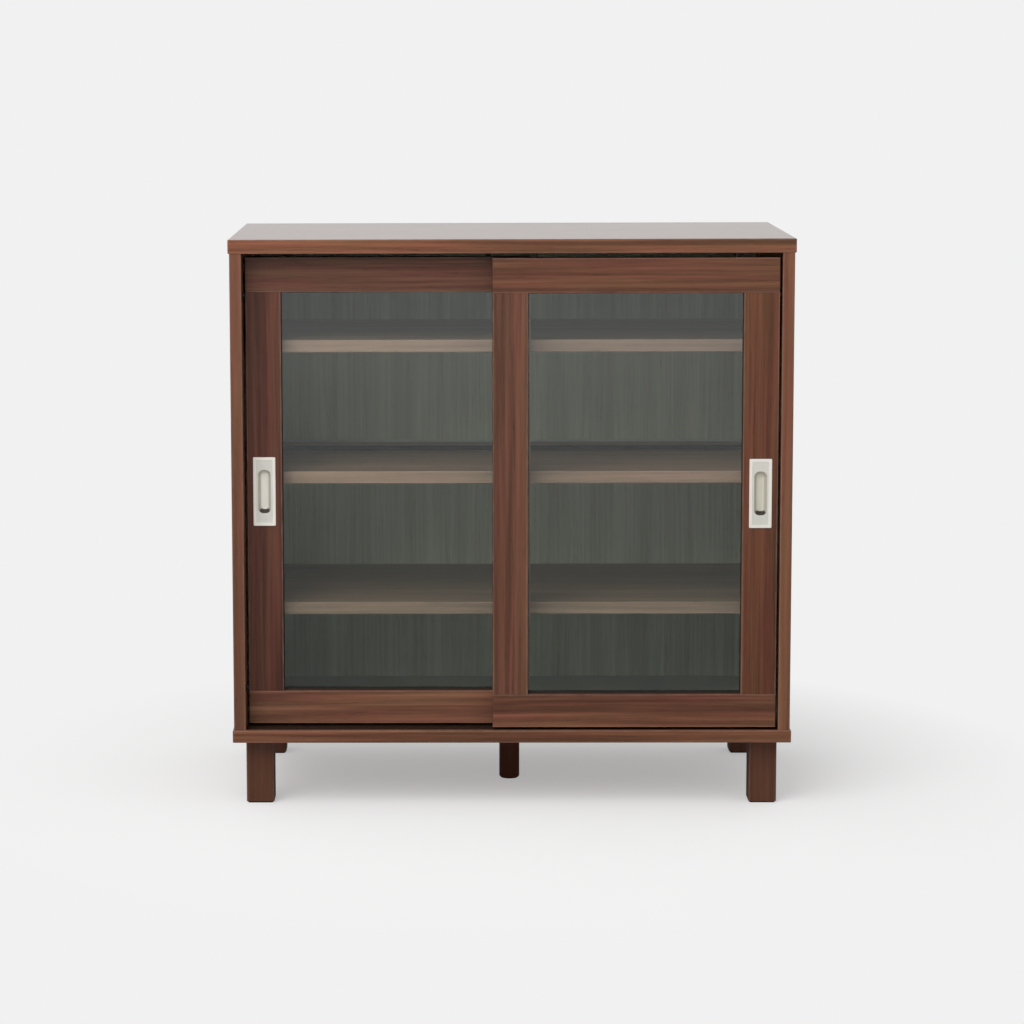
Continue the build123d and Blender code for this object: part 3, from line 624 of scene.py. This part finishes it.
# The strip is coloured almost black, so that it shows as a dark line along the back of the fixed shelf.
face_with_wood("plate_stop", "X", ALMOST_BLACK, 15, gloss=0.6, contrast=0.6, wear_and_highlight=0.0, specular=0.1)
print("Boards faced:", len(finished))

# %% [markdown]
# ### The door frames
# Each door has two rails, whose grain runs from side to side, and two stiles, whose grain runs up.
# They are sawn from different planks, so each has its own shift and slightly its own tone. The
# left door's top rail and stiles are also painted darker than its bottom rail: painted shade under
# the top panel and beside the left side panel.

# %% Door frames
# Tones of the planks, with painted shade: the left door's top rail and stiles are darker.
FRAME_WOODS_AND_SHADE = {
    "right_door_top_rail": colour(108, 69, 53),
    "right_door_bottom_rail": colour(110, 71, 55),
    "right_door_inner_stile": colour(97, 63, 50),
    "right_door_outer_stile": colour(96, 59, 43),
    "left_door_top_rail": colour(91, 59, 48),
    "left_door_bottom_rail": colour(116, 77, 61),
    "left_door_inner_stile": colour(92, 60, 50),
    "left_door_outer_stile": colour(86, 52, 43),
}
for count, (name, wood_colour) in enumerate(FRAME_WOODS_AND_SHADE.items()):
    along = "X" if name.endswith("rail") else "Z"
    face_with_wood(name, along, wood_colour, 20 + count, gloss=0.38, wear_and_highlight=0.35 if along == "X" else 0.45)
print("Rails and stiles faced:", len(FRAME_WOODS_AND_SHADE))

# %% [markdown]
# ## Glass
# Clear glass is the shader's transmission at full weight. Traced light through glass is slow to find
# a lamp, so shadow rays see a plain Transparent shader instead: glass that lets lamps through. The
# tint is the faint green of iron in window glass.

# %% Glass
GLASS_TINT = colour(240, 247, 243)
GLASS_IOR = 1.5
glass_names = [f"{side}_door_glass" for side in ("left", "right")]
_, tree = paint("clear glass", glass_names)
glass = add(
    tree,
    "ShaderNodeBsdfPrincipled",
    {"Base Color": GLASS_TINT, "Roughness": 0.0, "IOR": GLASS_IOR, "Transmission Weight": 1.0},
).outputs[0]
clear = add(tree, "ShaderNodeBsdfTransparent", {"Color": GLASS_TINT}).outputs[0]
shadow_ray = add(tree, "ShaderNodeLightPath").outputs["Is Shadow Ray"]
add(tree, "ShaderNodeOutputMaterial", {"Surface": mix_shaders(tree, shadow_ray, glass, clear)})
print("Panes:", len(glass_names))

# %% [markdown]
# ## Metal, plastic, rubber and felt
# The small parts share one idea: a base colour, a fine speckle or brushing that varies the roughness,
# and a bump of the same pattern. One group draws the pattern, stretched for brushed metal and even
# for moulded plastic, and each material chooses its own scale and strength.

# %% Fine surface, as a group
SPECKLE_DETAIL, SPECKLE_ROUGHNESS = 3.0, 0.6
CLOUD_SCALE = 60.0

fine_surface, source, sink = new_group(
    "fine surface",
    {
        "Vector": ("Vector", None),
        "Color": ("Color", (0.5, 0.5, 0.5, 1)),
        "Stretch": ("Vector", (1.0, 1.0, 1.0)),
        "Scale": ("Float", 2000.0),
        "Variation": ("Float", 0.1),
        "Roughness": ("Float", 0.4),
    },
    {"Color": "Color", "Roughness": "Float", "Height": "Float"},
)
stretched = vector_math(fine_surface, "MULTIPLY", source["Vector"], source["Stretch"])
speckle = noise(fine_surface, stretched, source["Scale"], SPECKLE_DETAIL, SPECKLE_ROUGHNESS)
cloud = noise(fine_surface, source["Vector"], CLOUD_SCALE, 2.0)
offset = math(fine_surface, "SUBTRACT", math(fine_surface, "ADD", speckle, cloud), 1.0)
amount = math(fine_surface, "MULTIPLY", offset, source["Variation"])
brightness = math(fine_surface, "ADD", 1.0, amount)
shade_inputs = {0: source["Color"], "Scale": brightness}
shaded = add(fine_surface, "ShaderNodeVectorMath", shade_inputs, operation="SCALE").outputs["Vector"]
fine_surface.links.new(shaded, sink["Color"])
fine_surface.links.new(math(fine_surface, "SUBTRACT", source["Roughness"], amount), sink["Roughness"])
fine_surface.links.new(speckle, sink["Height"])
print("The group for fine surfaces has", len(fine_surface.nodes), "nodes")


# %% Helpers for small parts
SPECKLE_DEPTH = 0.05 * MM
SPECKLE_VARIATION = 0.2


def fine_finish(tree, where, base, roughness, metallic, stretch, scale, variation, bump):
    """Dresses a material with the fine surface, between a base colour and the shader."""
    inputs = {
        "Vector": where,
        "Color": base,
        "Stretch": stretch,
        "Scale": scale,
        "Variation": variation,
        "Roughness": roughness,
    }
    pattern = place_group(tree, fine_surface, inputs)
    bump_inputs = {"Strength": bump, "Distance": SPECKLE_DEPTH, "Height": pattern["Height"]}
    principled(
        tree,
        {
            "Base Color": pattern["Color"],
            "Roughness": pattern["Roughness"],
            "Metallic": metallic,
            "Normal": add(tree, "ShaderNodeBump", bump_inputs).outputs["Normal"],
        },
    )


def finish(name, node_names, base, roughness, metallic=0.0, scale=2000.0, bump=0.1):
    """A small part's material, put on all the nodes of that finish."""
    material, tree = paint(name, node_names)
    where = add(tree, "ShaderNodeTexCoord").outputs["Object"]
    fine_finish(tree, where, base, roughness, metallic, (1.0, 1.0, 1.0), scale, SPECKLE_VARIATION, bump)
    return material


def both_doors(*parts):
    """The names of the same parts of the left and the right door."""
    return [f"{side}_door_{part}" for side in ("left", "right") for part in parts]


print("Speckles are", SPECKLE_DEPTH / MM, "mm deep")

# %% Small parts
finish("brown extrusion", ["bottom_track", "top_track"], colour(52, 31, 22), 0.45, scale=900.0)
finish("grey extrusion", ["back_joint_strip"], colour(150, 150, 141), 0.5, scale=900.0)
finish("black rubber", ["left_side_bumpers", "right_side_bumpers"], colour(24, 22, 21), 0.6, scale=1500.0)
finish("brown rubber", both_doors("glazing_seal"), colour(48, 36, 30), 0.6, scale=1500.0)
finish("brown nylon", both_doors("roller_cases", "top_guides"), colour(44, 30, 24), 0.5)
finish("black nylon", both_doors("outer_wheel", "inner_wheel"), colour(26, 24, 23), 0.38)
finish("felt", ["foot_pads"], colour(60, 44, 36), 0.95, bump=0.8)
finish("cast zinc", ["cam_locks"], colour(172, 172, 175), 0.42, 1.0, scale=700.0)
finish("brass", ["leg_inserts"], colour(200, 165, 98), 0.3, 1.0)
steel_nodes = ["cam_bolts", "leg_bolts", "track_screws", "back_panel_screws", "upper_shelf_pins"]
steel_nodes += ["lower_shelf_pins", *both_doors("roller_axles")]
steel = finish("zinc plated steel", steel_nodes, colour(186, 186, 190), 0.32, 1.0)
dowel_nodes = ["carcass_dowels", *both_doors("frame_dowels")]
beech = finish("beech dowel", dowel_nodes, colour(196, 158, 116), 0.7)
print("Nodes with a finish:", len(finished), "of", len(nodes), "and the pulls are still to come")

# %% [markdown]
# ### The pulls
# A pull is pressed from sheet and satin plated. Its colour carries painted light: the raised rim and
# the floor of the cup are painted brighter than the field, as painted highlight, the steep walls of
# the cup are painted darker, as painted shade, and the lower end of the cup is painted dark, as
# painted shade and dark reflection. The right pull's cup is painted darker than the left one's, as
# painted shade. One flat colour would lose all of this. The masks come from how far a point is from
# the rim, how deep it lies and how steep it is.

# %% Measures and tones of a pull
RIM_WIDTH = 4.5 * MM
CUP_STARTS = 1.1 * MM  # depth behind the rim
MASK_BLUR = 0.2 * MM
WALL_STARTS, WALL_FULL = 0.95, 0.5  # how much a face of the cup points forwards
LOWER_END_SHADE_STARTS, LOWER_END_SHADE_FULL = 0.25, 0.6  # how much it points up
# The rim and the floor of the cup are painted brighter than the field, as painted highlight, and the walls of
# the cup darker, as painted shade.
RIM_HIGHLIGHT_TONE, FIELD_TONE = colour(250, 245, 236), colour(238, 236, 226)
# The lower end of the cup is painted dark: painted shade and dark reflection.
WALL_SHADE_TONE, LOWER_END_SHADE_TONE = colour(196, 191, 178), colour(56, 52, 44)
# The right cup is painted darker than the left: painted shade on the right pull.
CUP_TONES_AND_SHADE = {"left": colour(250, 248, 238), "right": colour(234, 229, 212)}
FIELD_METALLIC, METALLIC_DROP = 0.34, 0.18  # the rim and the cup reflect less of the dim room
NICKEL_ROUGHNESS = 0.34
BRUSHED = (1.0, 1.0, 0.03)
BRUSHING_SCALE, BRUSHING_VARIATION, BRUSHING_BUMP = 1800.0, 0.1, 0.15
print("A pull's rim is", RIM_WIDTH / MM, "mm wide")


# %% Pulls
def plate_with_nickel(node_name, cup_tone_and_shade):
    """Satin nickel for one pull, with painted highlight on the rim and painted shade on the cup's walls."""
    _, tree = paint(node_name.replace("_", " ") + " nickel", [node_name])
    low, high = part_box(node_name)
    coordinates = add(tree, "ShaderNodeTexCoord").outputs
    where = coordinates["Object"]
    facing = apart(tree, coordinates["Normal"])
    depth = math(tree, "SUBTRACT", apart(tree, where)["Y"], low.y)
    from_middle = vector_math(tree, "SUBTRACT", where, (low + high) / 2)
    from_middle = vector_math(tree, "ABSOLUTE", from_middle)
    to_edges = apart(tree, vector_math(tree, "SUBTRACT", (high - low) / 2, from_middle))
    to_edge = math(tree, "MINIMUM", to_edges["X"], to_edges["Z"])
    on_rim = spread(tree, to_edge, RIM_WIDTH + MASK_BLUR, RIM_WIDTH - MASK_BLUR)
    in_cup = spread(tree, depth, CUP_STARTS - MASK_BLUR, CUP_STARTS + MASK_BLUR)
    steep = spread(tree, math(tree, "ABSOLUTE", facing["Y"]), WALL_STARTS, WALL_FULL)
    on_wall = math(tree, "MULTIPLY", in_cup, steep)
    # Painted shade and dark reflection on the upward faces at the lower end of the cup.
    upwards = spread(tree, facing["Z"], LOWER_END_SHADE_STARTS, LOWER_END_SHADE_FULL)
    lower_end_shade = math(tree, "MULTIPLY", in_cup, upwards)
    # Painted highlight on the rim and the cup's floor, painted shade on its walls and lower end.
    tone = mix(tree, on_rim, FIELD_TONE, RIM_HIGHLIGHT_TONE)
    tone = mix(tree, in_cup, tone, cup_tone_and_shade)
    tone = mix(tree, on_wall, tone, WALL_SHADE_TONE)
    tone = mix(tree, lower_end_shade, tone, LOWER_END_SHADE_TONE)
    drop = math(tree, "MULTIPLY", math(tree, "MAXIMUM", on_rim, in_cup), METALLIC_DROP)
    metallic = math(tree, "SUBTRACT", FIELD_METALLIC, drop)
    fine_finish(tree, where, tone, NICKEL_ROUGHNESS, metallic, BRUSHED, BRUSHING_SCALE,
                BRUSHING_VARIATION, BRUSHING_BUMP)


# Each pull gets its own cup tone, the right one darker as painted shade.
for side, cup_tone_and_shade in CUP_TONES_AND_SHADE.items():
    plate_with_nickel(f"{side}_door_pull", cup_tone_and_shade)
print("Nodes with a finish:", len(finished), "of", len(nodes))

# %% [markdown]
# ## Fasteners, made by Geometry Nodes
# The frame holds every screw, bolt and dowel as a plain round solid of the right size and place. The
# real ones have a head with a cross recess, a thread, or flutes that let the glue out. Each is drawn
# once by a tree with named inputs, and the tree sets a copy on every place, turned along the way it
# is driven. Modelling one by hand and copying it would look the same, but then a new size or place
# means doing it again.

# %% Places of the fasteners, read from the frame
MERGE_DISTANCE = 0.001 * MM


def solids(node_name):
    """The lowest and highest corner of each separate solid in a CAD node, from left to right. They
    are found in no fixed order, and are sorted because a copy's random turn goes by its number."""
    copy = bmesh.new()
    copy.from_mesh(nodes[node_name].data)
    bmesh.ops.remove_doubles(copy, verts=copy.verts, dist=MERGE_DISTANCE)
    waiting = set(copy.verts)
    boxes = []
    while waiting:
        reached = [waiting.pop()]
        island = []
        while reached:
            vertex = reached.pop()
            island.append(vertex.co.copy())
            for edge in vertex.link_edges:
                other = edge.other_vert(vertex)
                if other in waiting:
                    waiting.remove(other)
                    reached.append(other)
        low = Vector([min(co[axis] for co in island) for axis in range(3)])
        high = Vector([max(co[axis] for co in island) for axis in range(3)])
        boxes.append((low, high))
    copy.free()
    return sorted(boxes, key=lambda corners: [*corners[0], *corners[1]])


def long_axis(low, high):
    """The number of the axis along which a box is longest."""
    size = high - low
    return max(range(3), key=lambda axis: size[axis])


def driven(node_name, towards):
    """The head end of each fastener in a node and the way it is driven, which towards gives from
    the middle of its box."""
    places = []
    for low, high in solids(node_name):
        axis = long_axis(low, high)
        middle = (low + high) / 2
        way = towards(middle)
        head = middle.copy()
        head[axis] = low[axis] if way[axis] > 0 else high[axis]
        places.append((head, way))
    return places


MID_HEIGHT = sum(corner.z for corner in cad_box) / 2
UP, DOWN, FORWARD = Vector((0, 0, 1)), Vector((0, 0, -1)), Vector((0, -1, 0))


def away_from_middle(point):
    return UP if point.z > MID_HEIGHT else DOWN


for name in ("track_screws", "cam_bolts", "leg_bolts", "back_panel_screws", "carcass_dowels"):
    print(name, len(solids(name)))

# %% [markdown]
# ### The tree of a screw or bolt
# The body is a lathe shape: a head, a shank and a pointed or flat tip are cones joined end to end.
# A spiral that is swept with a small three-sided profile winds the thread round the shank, and a
# cross of two bars is cut out of the head. Random turns, from a fixed seed, keep the crosses from
# all lining up.

# %% Helpers for geometry trees
ROUND_SIDES = 20


def new_tree(name, inputs):
    """A geometry tree with named inputs, and its group input and output."""
    inputs = {"Geometry": ("Geometry", None), **inputs}
    return new_group(name, inputs, {"Geometry": "Geometry"}, "GeometryNodeTree")


def join(tree, *parts):
    """Several parts as one geometry."""
    made = add(tree, "GeometryNodeJoinGeometry")
    for part in parts:
        tree.links.new(part, made.inputs[0])
    return made.outputs[0]


def lifted(tree, part, height):
    """A part moved up by height."""
    offset = add(tree, "ShaderNodeCombineXYZ", {"Z": height}).outputs[0]
    return add(tree, "GeometryNodeTransform", {"Geometry": part, "Translation": offset}).outputs[0]


def cone(tree, bottom, top, depth):
    """A closed cone frustum that stands on the origin."""
    inputs = {"Vertices": ROUND_SIDES, "Radius Top": top, "Radius Bottom": bottom, "Depth": depth}
    return add(tree, "GeometryNodeMeshCone", inputs).outputs["Mesh"]


def swept(tree, path, profile):
    """A closed solid: the profile moved along the path."""
    inputs = {"Curve": path, "Profile Curve": profile, "Fill Caps": True}
    return add(tree, "GeometryNodeCurveToMesh", inputs).outputs[0]


def set_on_places(tree, source, sink, one):
    """Copies one piece onto the points, along each point's Direction, as real faces with a material."""
    way = add(tree, "GeometryNodeInputNamedAttribute", {"Name": "Direction"}, data_type="FLOAT_VECTOR")
    along = add(tree, "FunctionNodeAlignRotationToVector", {"Vector": way.outputs[0]}, axis="Z").outputs[0]
    turn_range = {2: 0.0, 3: 2 * pi, "Seed": source["Seed"]}  # sockets 2 and 3 are Min and Max
    any_turn = add(tree, "FunctionNodeRandomValue", turn_range, data_type="FLOAT").outputs[1]
    spin = add(tree, "FunctionNodeAxisAngleToRotation", {"Axis": (0, 0, 1), "Angle": any_turn}).outputs[0]
    turned = add(tree, "FunctionNodeRotateRotation", {0: along, 1: spin}, rotation_space="LOCAL").outputs[0]
    copies = add(
        tree,
        "GeometryNodeInstanceOnPoints",
        {"Points": source["Geometry"], "Instance": one, "Rotation": turned},
    ).outputs[0]
    real = add(tree, "GeometryNodeRealizeInstances", {"Geometry": copies}).outputs[0]
    paint_inputs = {"Geometry": real, "Material": source["Material"]}
    painted = add(tree, "GeometryNodeSetMaterial", paint_inputs).outputs[0]
    tree.links.new(painted, sink["Geometry"])


# %% Tree of a screw: its inputs
screw_tree, source, sink = new_tree(
    "screw",
    {
        "Head Radius": ("Float", 3 * MM),
        "Head Underside": ("Float", 1.5 * MM),
        "Head Height": ("Float", 1.5 * MM),
        "Shank Radius": ("Float", 1.4 * MM),
        "Length": ("Float", 8 * MM),
        "Plain Length": ("Float", 0.0),
        "Pitch": ("Float", 1.2 * MM),
        "Thread Depth": ("Float", 0.3 * MM),
        "Recess Depth": ("Float", 1.0 * MM),
        "Seed": ("Int", 1),
        "Material": ("Material", None),
    },
)
print("Inputs of a screw:", len(screw_tree.interface.items_tree) - 2)

# %% Tree of a screw: head and cross recess
BAR_LENGTH, BAR_WIDTH = 1.1, 0.26  # as shares of the head's radius
BAR_DEPTH = 2.0  # as a share of the recess, because half of the bar stands out of the head

head_radius, head_height = source["Head Radius"], source["Head Height"]
head = cone(screw_tree, head_radius, source["Head Underside"], head_height)
bar_length = math(screw_tree, "MULTIPLY", head_radius, BAR_LENGTH)
bar_width = math(screw_tree, "MULTIPLY", head_radius, BAR_WIDTH)
bar_depth = math(screw_tree, "MULTIPLY", source["Recess Depth"], BAR_DEPTH)
cut = add(screw_tree, "GeometryNodeMeshBoolean", {"Mesh 1": head}, operation="DIFFERENCE")
for first, second in ((bar_length, bar_width), (bar_width, bar_length)):
    size = add(screw_tree, "ShaderNodeCombineXYZ", {"X": first, "Y": second, "Z": bar_depth}).outputs[0]
    bar = add(screw_tree, "GeometryNodeMeshCube", {"Size": size}).outputs["Mesh"]
    screw_tree.links.new(bar, cut.inputs["Mesh 2"])
print("Nodes up to the head:", len(screw_tree.nodes))

# %% Tree of a screw: shank, tip and thread
THREAD_MARGIN = 3.0  # how much shank the thread leaves free, as a share of its depth
STEPS_OF_A_TURN = 14
THREAD_SIDES = 3

shank_radius, thread_depth = source["Shank Radius"], source["Thread Depth"]
core_length = math(screw_tree, "SUBTRACT", source["Length"], thread_depth)
core = lifted(screw_tree, cone(screw_tree, shank_radius, shank_radius, core_length), head_height)
tip_radius = math(screw_tree, "SUBTRACT", shank_radius, thread_depth)
tip = cone(screw_tree, shank_radius, tip_radius, thread_depth)
tip = lifted(screw_tree, tip, math(screw_tree, "ADD", head_height, core_length))
thread_length = math(screw_tree, "SUBTRACT", source["Length"], source["Plain Length"])
margin = math(screw_tree, "MULTIPLY", thread_depth, THREAD_MARGIN)
thread_length = math(screw_tree, "SUBTRACT", thread_length, margin)
spiral = add(
    screw_tree,
    "GeometryNodeCurveSpiral",
    {
        "Resolution": STEPS_OF_A_TURN,
        "Rotations": math(screw_tree, "DIVIDE", thread_length, source["Pitch"]),
        "Start Radius": tip_radius,
        "End Radius": tip_radius,
        "Height": thread_length,
    },
).outputs[0]
profile_inputs = {"Resolution": THREAD_SIDES, "Radius": thread_depth}
profile = add(screw_tree, "GeometryNodeCurvePrimitiveCircle", profile_inputs).outputs[0]
thread = swept(screw_tree, spiral, profile)
thread_start = math(screw_tree, "ADD", head_height, source["Plain Length"])
thread_start = math(screw_tree, "ADD", thread_start, thread_depth)
thread = lifted(screw_tree, thread, thread_start)
set_on_places(screw_tree, source, sink, join(screw_tree, cut.outputs[0], core, tip, thread))
print("Nodes of the whole screw:", len(screw_tree.nodes))

# %% [markdown]
# ### The tree of a fluted dowel
# A dowel is a beech pin with straight flutes. Its section is a circle whose radius goes in and out
# with the sine of the angle, and the section is filled and pushed out along the pin.

# %% Tree of a dowel
SECTION_POINTS = 96

dowel_tree, source, sink = new_tree(
    "fluted dowel",
    {
        "Radius": ("Float", 4 * MM),
        "Length": ("Float", 30 * MM),
        "Flutes": ("Float", 16.0),
        "Flute Depth": ("Float", 0.3 * MM),
        "Seed": ("Int", 1),
        "Material": ("Material", None),
    },
)
section_inputs = {"Resolution": SECTION_POINTS, "Radius": 1.0}
round_section = add(dowel_tree, "GeometryNodeCurvePrimitiveCircle", section_inputs).outputs[0]
spot = add(dowel_tree, "GeometryNodeInputPosition").outputs[0]
spot_parts = apart(dowel_tree, spot)
angle = math(dowel_tree, "ARCTAN2", spot_parts["Y"], spot_parts["X"])
wave = math(dowel_tree, "SINE", math(dowel_tree, "MULTIPLY", angle, source["Flutes"]))
wave = math(dowel_tree, "MULTIPLY", math(dowel_tree, "SUBTRACT", 1.0, wave), 0.5)
flute = math(dowel_tree, "MULTIPLY", wave, source["Flute Depth"])
radius = math(dowel_tree, "SUBTRACT", source["Radius"], flute)
rim = add(dowel_tree, "ShaderNodeVectorMath", {0: spot, "Scale": radius}, operation="SCALE").outputs["Vector"]
section_inputs = {"Geometry": round_section, "Position": rim}
section = add(dowel_tree, "GeometryNodeSetPosition", section_inputs).outputs[0]
ends = []
for share in (-0.5, 0.5):
    height = math(dowel_tree, "MULTIPLY", source["Length"], share)
    ends.append(add(dowel_tree, "ShaderNodeCombineXYZ", {"Z": height}).outputs[0])
line_inputs = {"Start": ends[0], "End": ends[1]}
axis_line = add(dowel_tree, "GeometryNodeCurvePrimitiveLine", line_inputs).outputs[0]
set_on_places(dowel_tree, source, sink, swept(dowel_tree, axis_line, section))
print("Nodes of a dowel:", len(dowel_tree.nodes))

# %% [markdown]
# ### Setting the fasteners
# The places go into a mesh of single points that carry a Direction. The modifier's inputs are set by
# the identifier of each socket, before the object is first evaluated, and the result is turned into a
# plain mesh, so that nothing depends on the modifier any more.

# %% Helpers that set the fasteners
def socket_id(tree, title):
    """The identifier of a tree's input."""
    inputs = [item for item in tree.interface.items_tree if item.in_out == "INPUT"]
    return next(item.identifier for item in inputs if item.name == title)


def set_fasteners(name, body, replaced, tree, places, inputs):
    """Makes one piece from a tree and the places of its copies, in place of a CAD node."""
    mesh = bpy.data.meshes.new(name)
    mesh.from_pydata([place for place, _ in places], [], [])
    directions = mesh.attributes.new("Direction", "FLOAT_VECTOR", "POINT")
    for item, (_, way) in zip(directions.data, places):
        item.vector = way
    piece = bpy.data.objects.new(name, mesh)
    bpy.context.scene.collection.objects.link(piece)
    modifier = piece.modifiers.new("copies", "NODES")
    modifier.node_group = tree
    for title, value in inputs.items():
        modifier[socket_id(tree, title)] = value
    bpy.context.view_layer.update()
    evaluated = piece.evaluated_get(bpy.context.evaluated_depsgraph_get())
    finished_mesh = bpy.data.meshes.new_from_object(evaluated)
    piece.modifiers.remove(modifier)
    piece.data = finished_mesh
    finished_mesh.name = name
    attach(piece, body)
    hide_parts(replaced)
    print(name, len(places), "copies,", len(finished_mesh.polygons), "faces")


def along_of(node_name):
    """The middle and the long direction of each solid in a node."""
    places = []
    for low, high in solids(node_name):
        way = Vector((0, 0, 0))
        way[long_axis(low, high)] = 1.0
        places.append(((low + high) / 2, way))
    return places


# %% Set the screws and bolts
set_fasteners(
    "cross_recess_track_screws", "carcass", "track_screws", screw_tree,
    driven("track_screws", away_from_middle),
    {
        "Head Radius": 2.7 * MM, "Head Underside": 1.4 * MM, "Head Height": 1.3 * MM,
        "Shank Radius": 1.3 * MM, "Length": 6.7 * MM, "Thread Depth": 0.25 * MM,
        "Recess Depth": 0.9 * MM, "Seed": 3, "Material": steel,
    },
)
set_fasteners(
    "cross_recess_back_screws", "carcass", "back_panel_screws", screw_tree,
    driven("back_panel_screws", lambda point: FORWARD),
    {
        "Head Radius": 3.2 * MM, "Head Underside": 3.5 * MM, "Head Height": 1.8 * MM,
        "Shank Radius": 1.4 * MM, "Length": 16 * MM, "Thread Depth": 0.3 * MM,
        "Recess Depth": 1.2 * MM, "Seed": 5, "Material": steel,
    },
)
set_fasteners(
    "threaded_cam_bolts", "carcass", "cam_bolts", screw_tree,
    driven("cam_bolts", away_from_middle),
    {
        "Head Radius": 3.7 * MM, "Head Underside": 3.7 * MM, "Head Height": 4 * MM,
        "Shank Radius": 2.3 * MM, "Length": 33 * MM, "Plain Length": 21 * MM, "Pitch": 2 * MM,
        "Thread Depth": 0.5 * MM, "Recess Depth": 2 * MM, "Seed": 7, "Material": steel,
    },
)
set_fasteners(
    "threaded_leg_bolts", "carcass", "leg_bolts", screw_tree,
    driven("leg_bolts", lambda point: UP),
    {
        "Head Radius": 3.3 * MM, "Head Underside": 3.6 * MM, "Head Height": 3 * MM,
        "Shank Radius": 3.6 * MM, "Length": 48 * MM, "Pitch": 1.25 * MM, "Thread Depth": 0.4 * MM,
        "Recess Depth": 2 * MM, "Seed": 9, "Material": steel,
    },
)

# %% Set the dowels
set_fasteners(
    "fluted_carcass_dowels", "carcass", "carcass_dowels", dowel_tree,
    along_of("carcass_dowels"),
    {"Radius": 4 * MM, "Length": 30 * MM, "Material": beech},
)
for side in ("left", "right"):
    set_fasteners(
        f"fluted_{side}_door_dowels", f"{side}_door", f"{side}_door_frame_dowels", dowel_tree,
        along_of(f"{side}_door_frame_dowels"),
        {"Radius": 4 * MM, "Length": 40 * MM, "Material": beech},
    )

# %% [markdown]
# ## The picture's settings
# The colours are shown as they are, with no film look.

# %% The picture's colours
bpy.context.scene.view_settings.view_transform = "Standard"
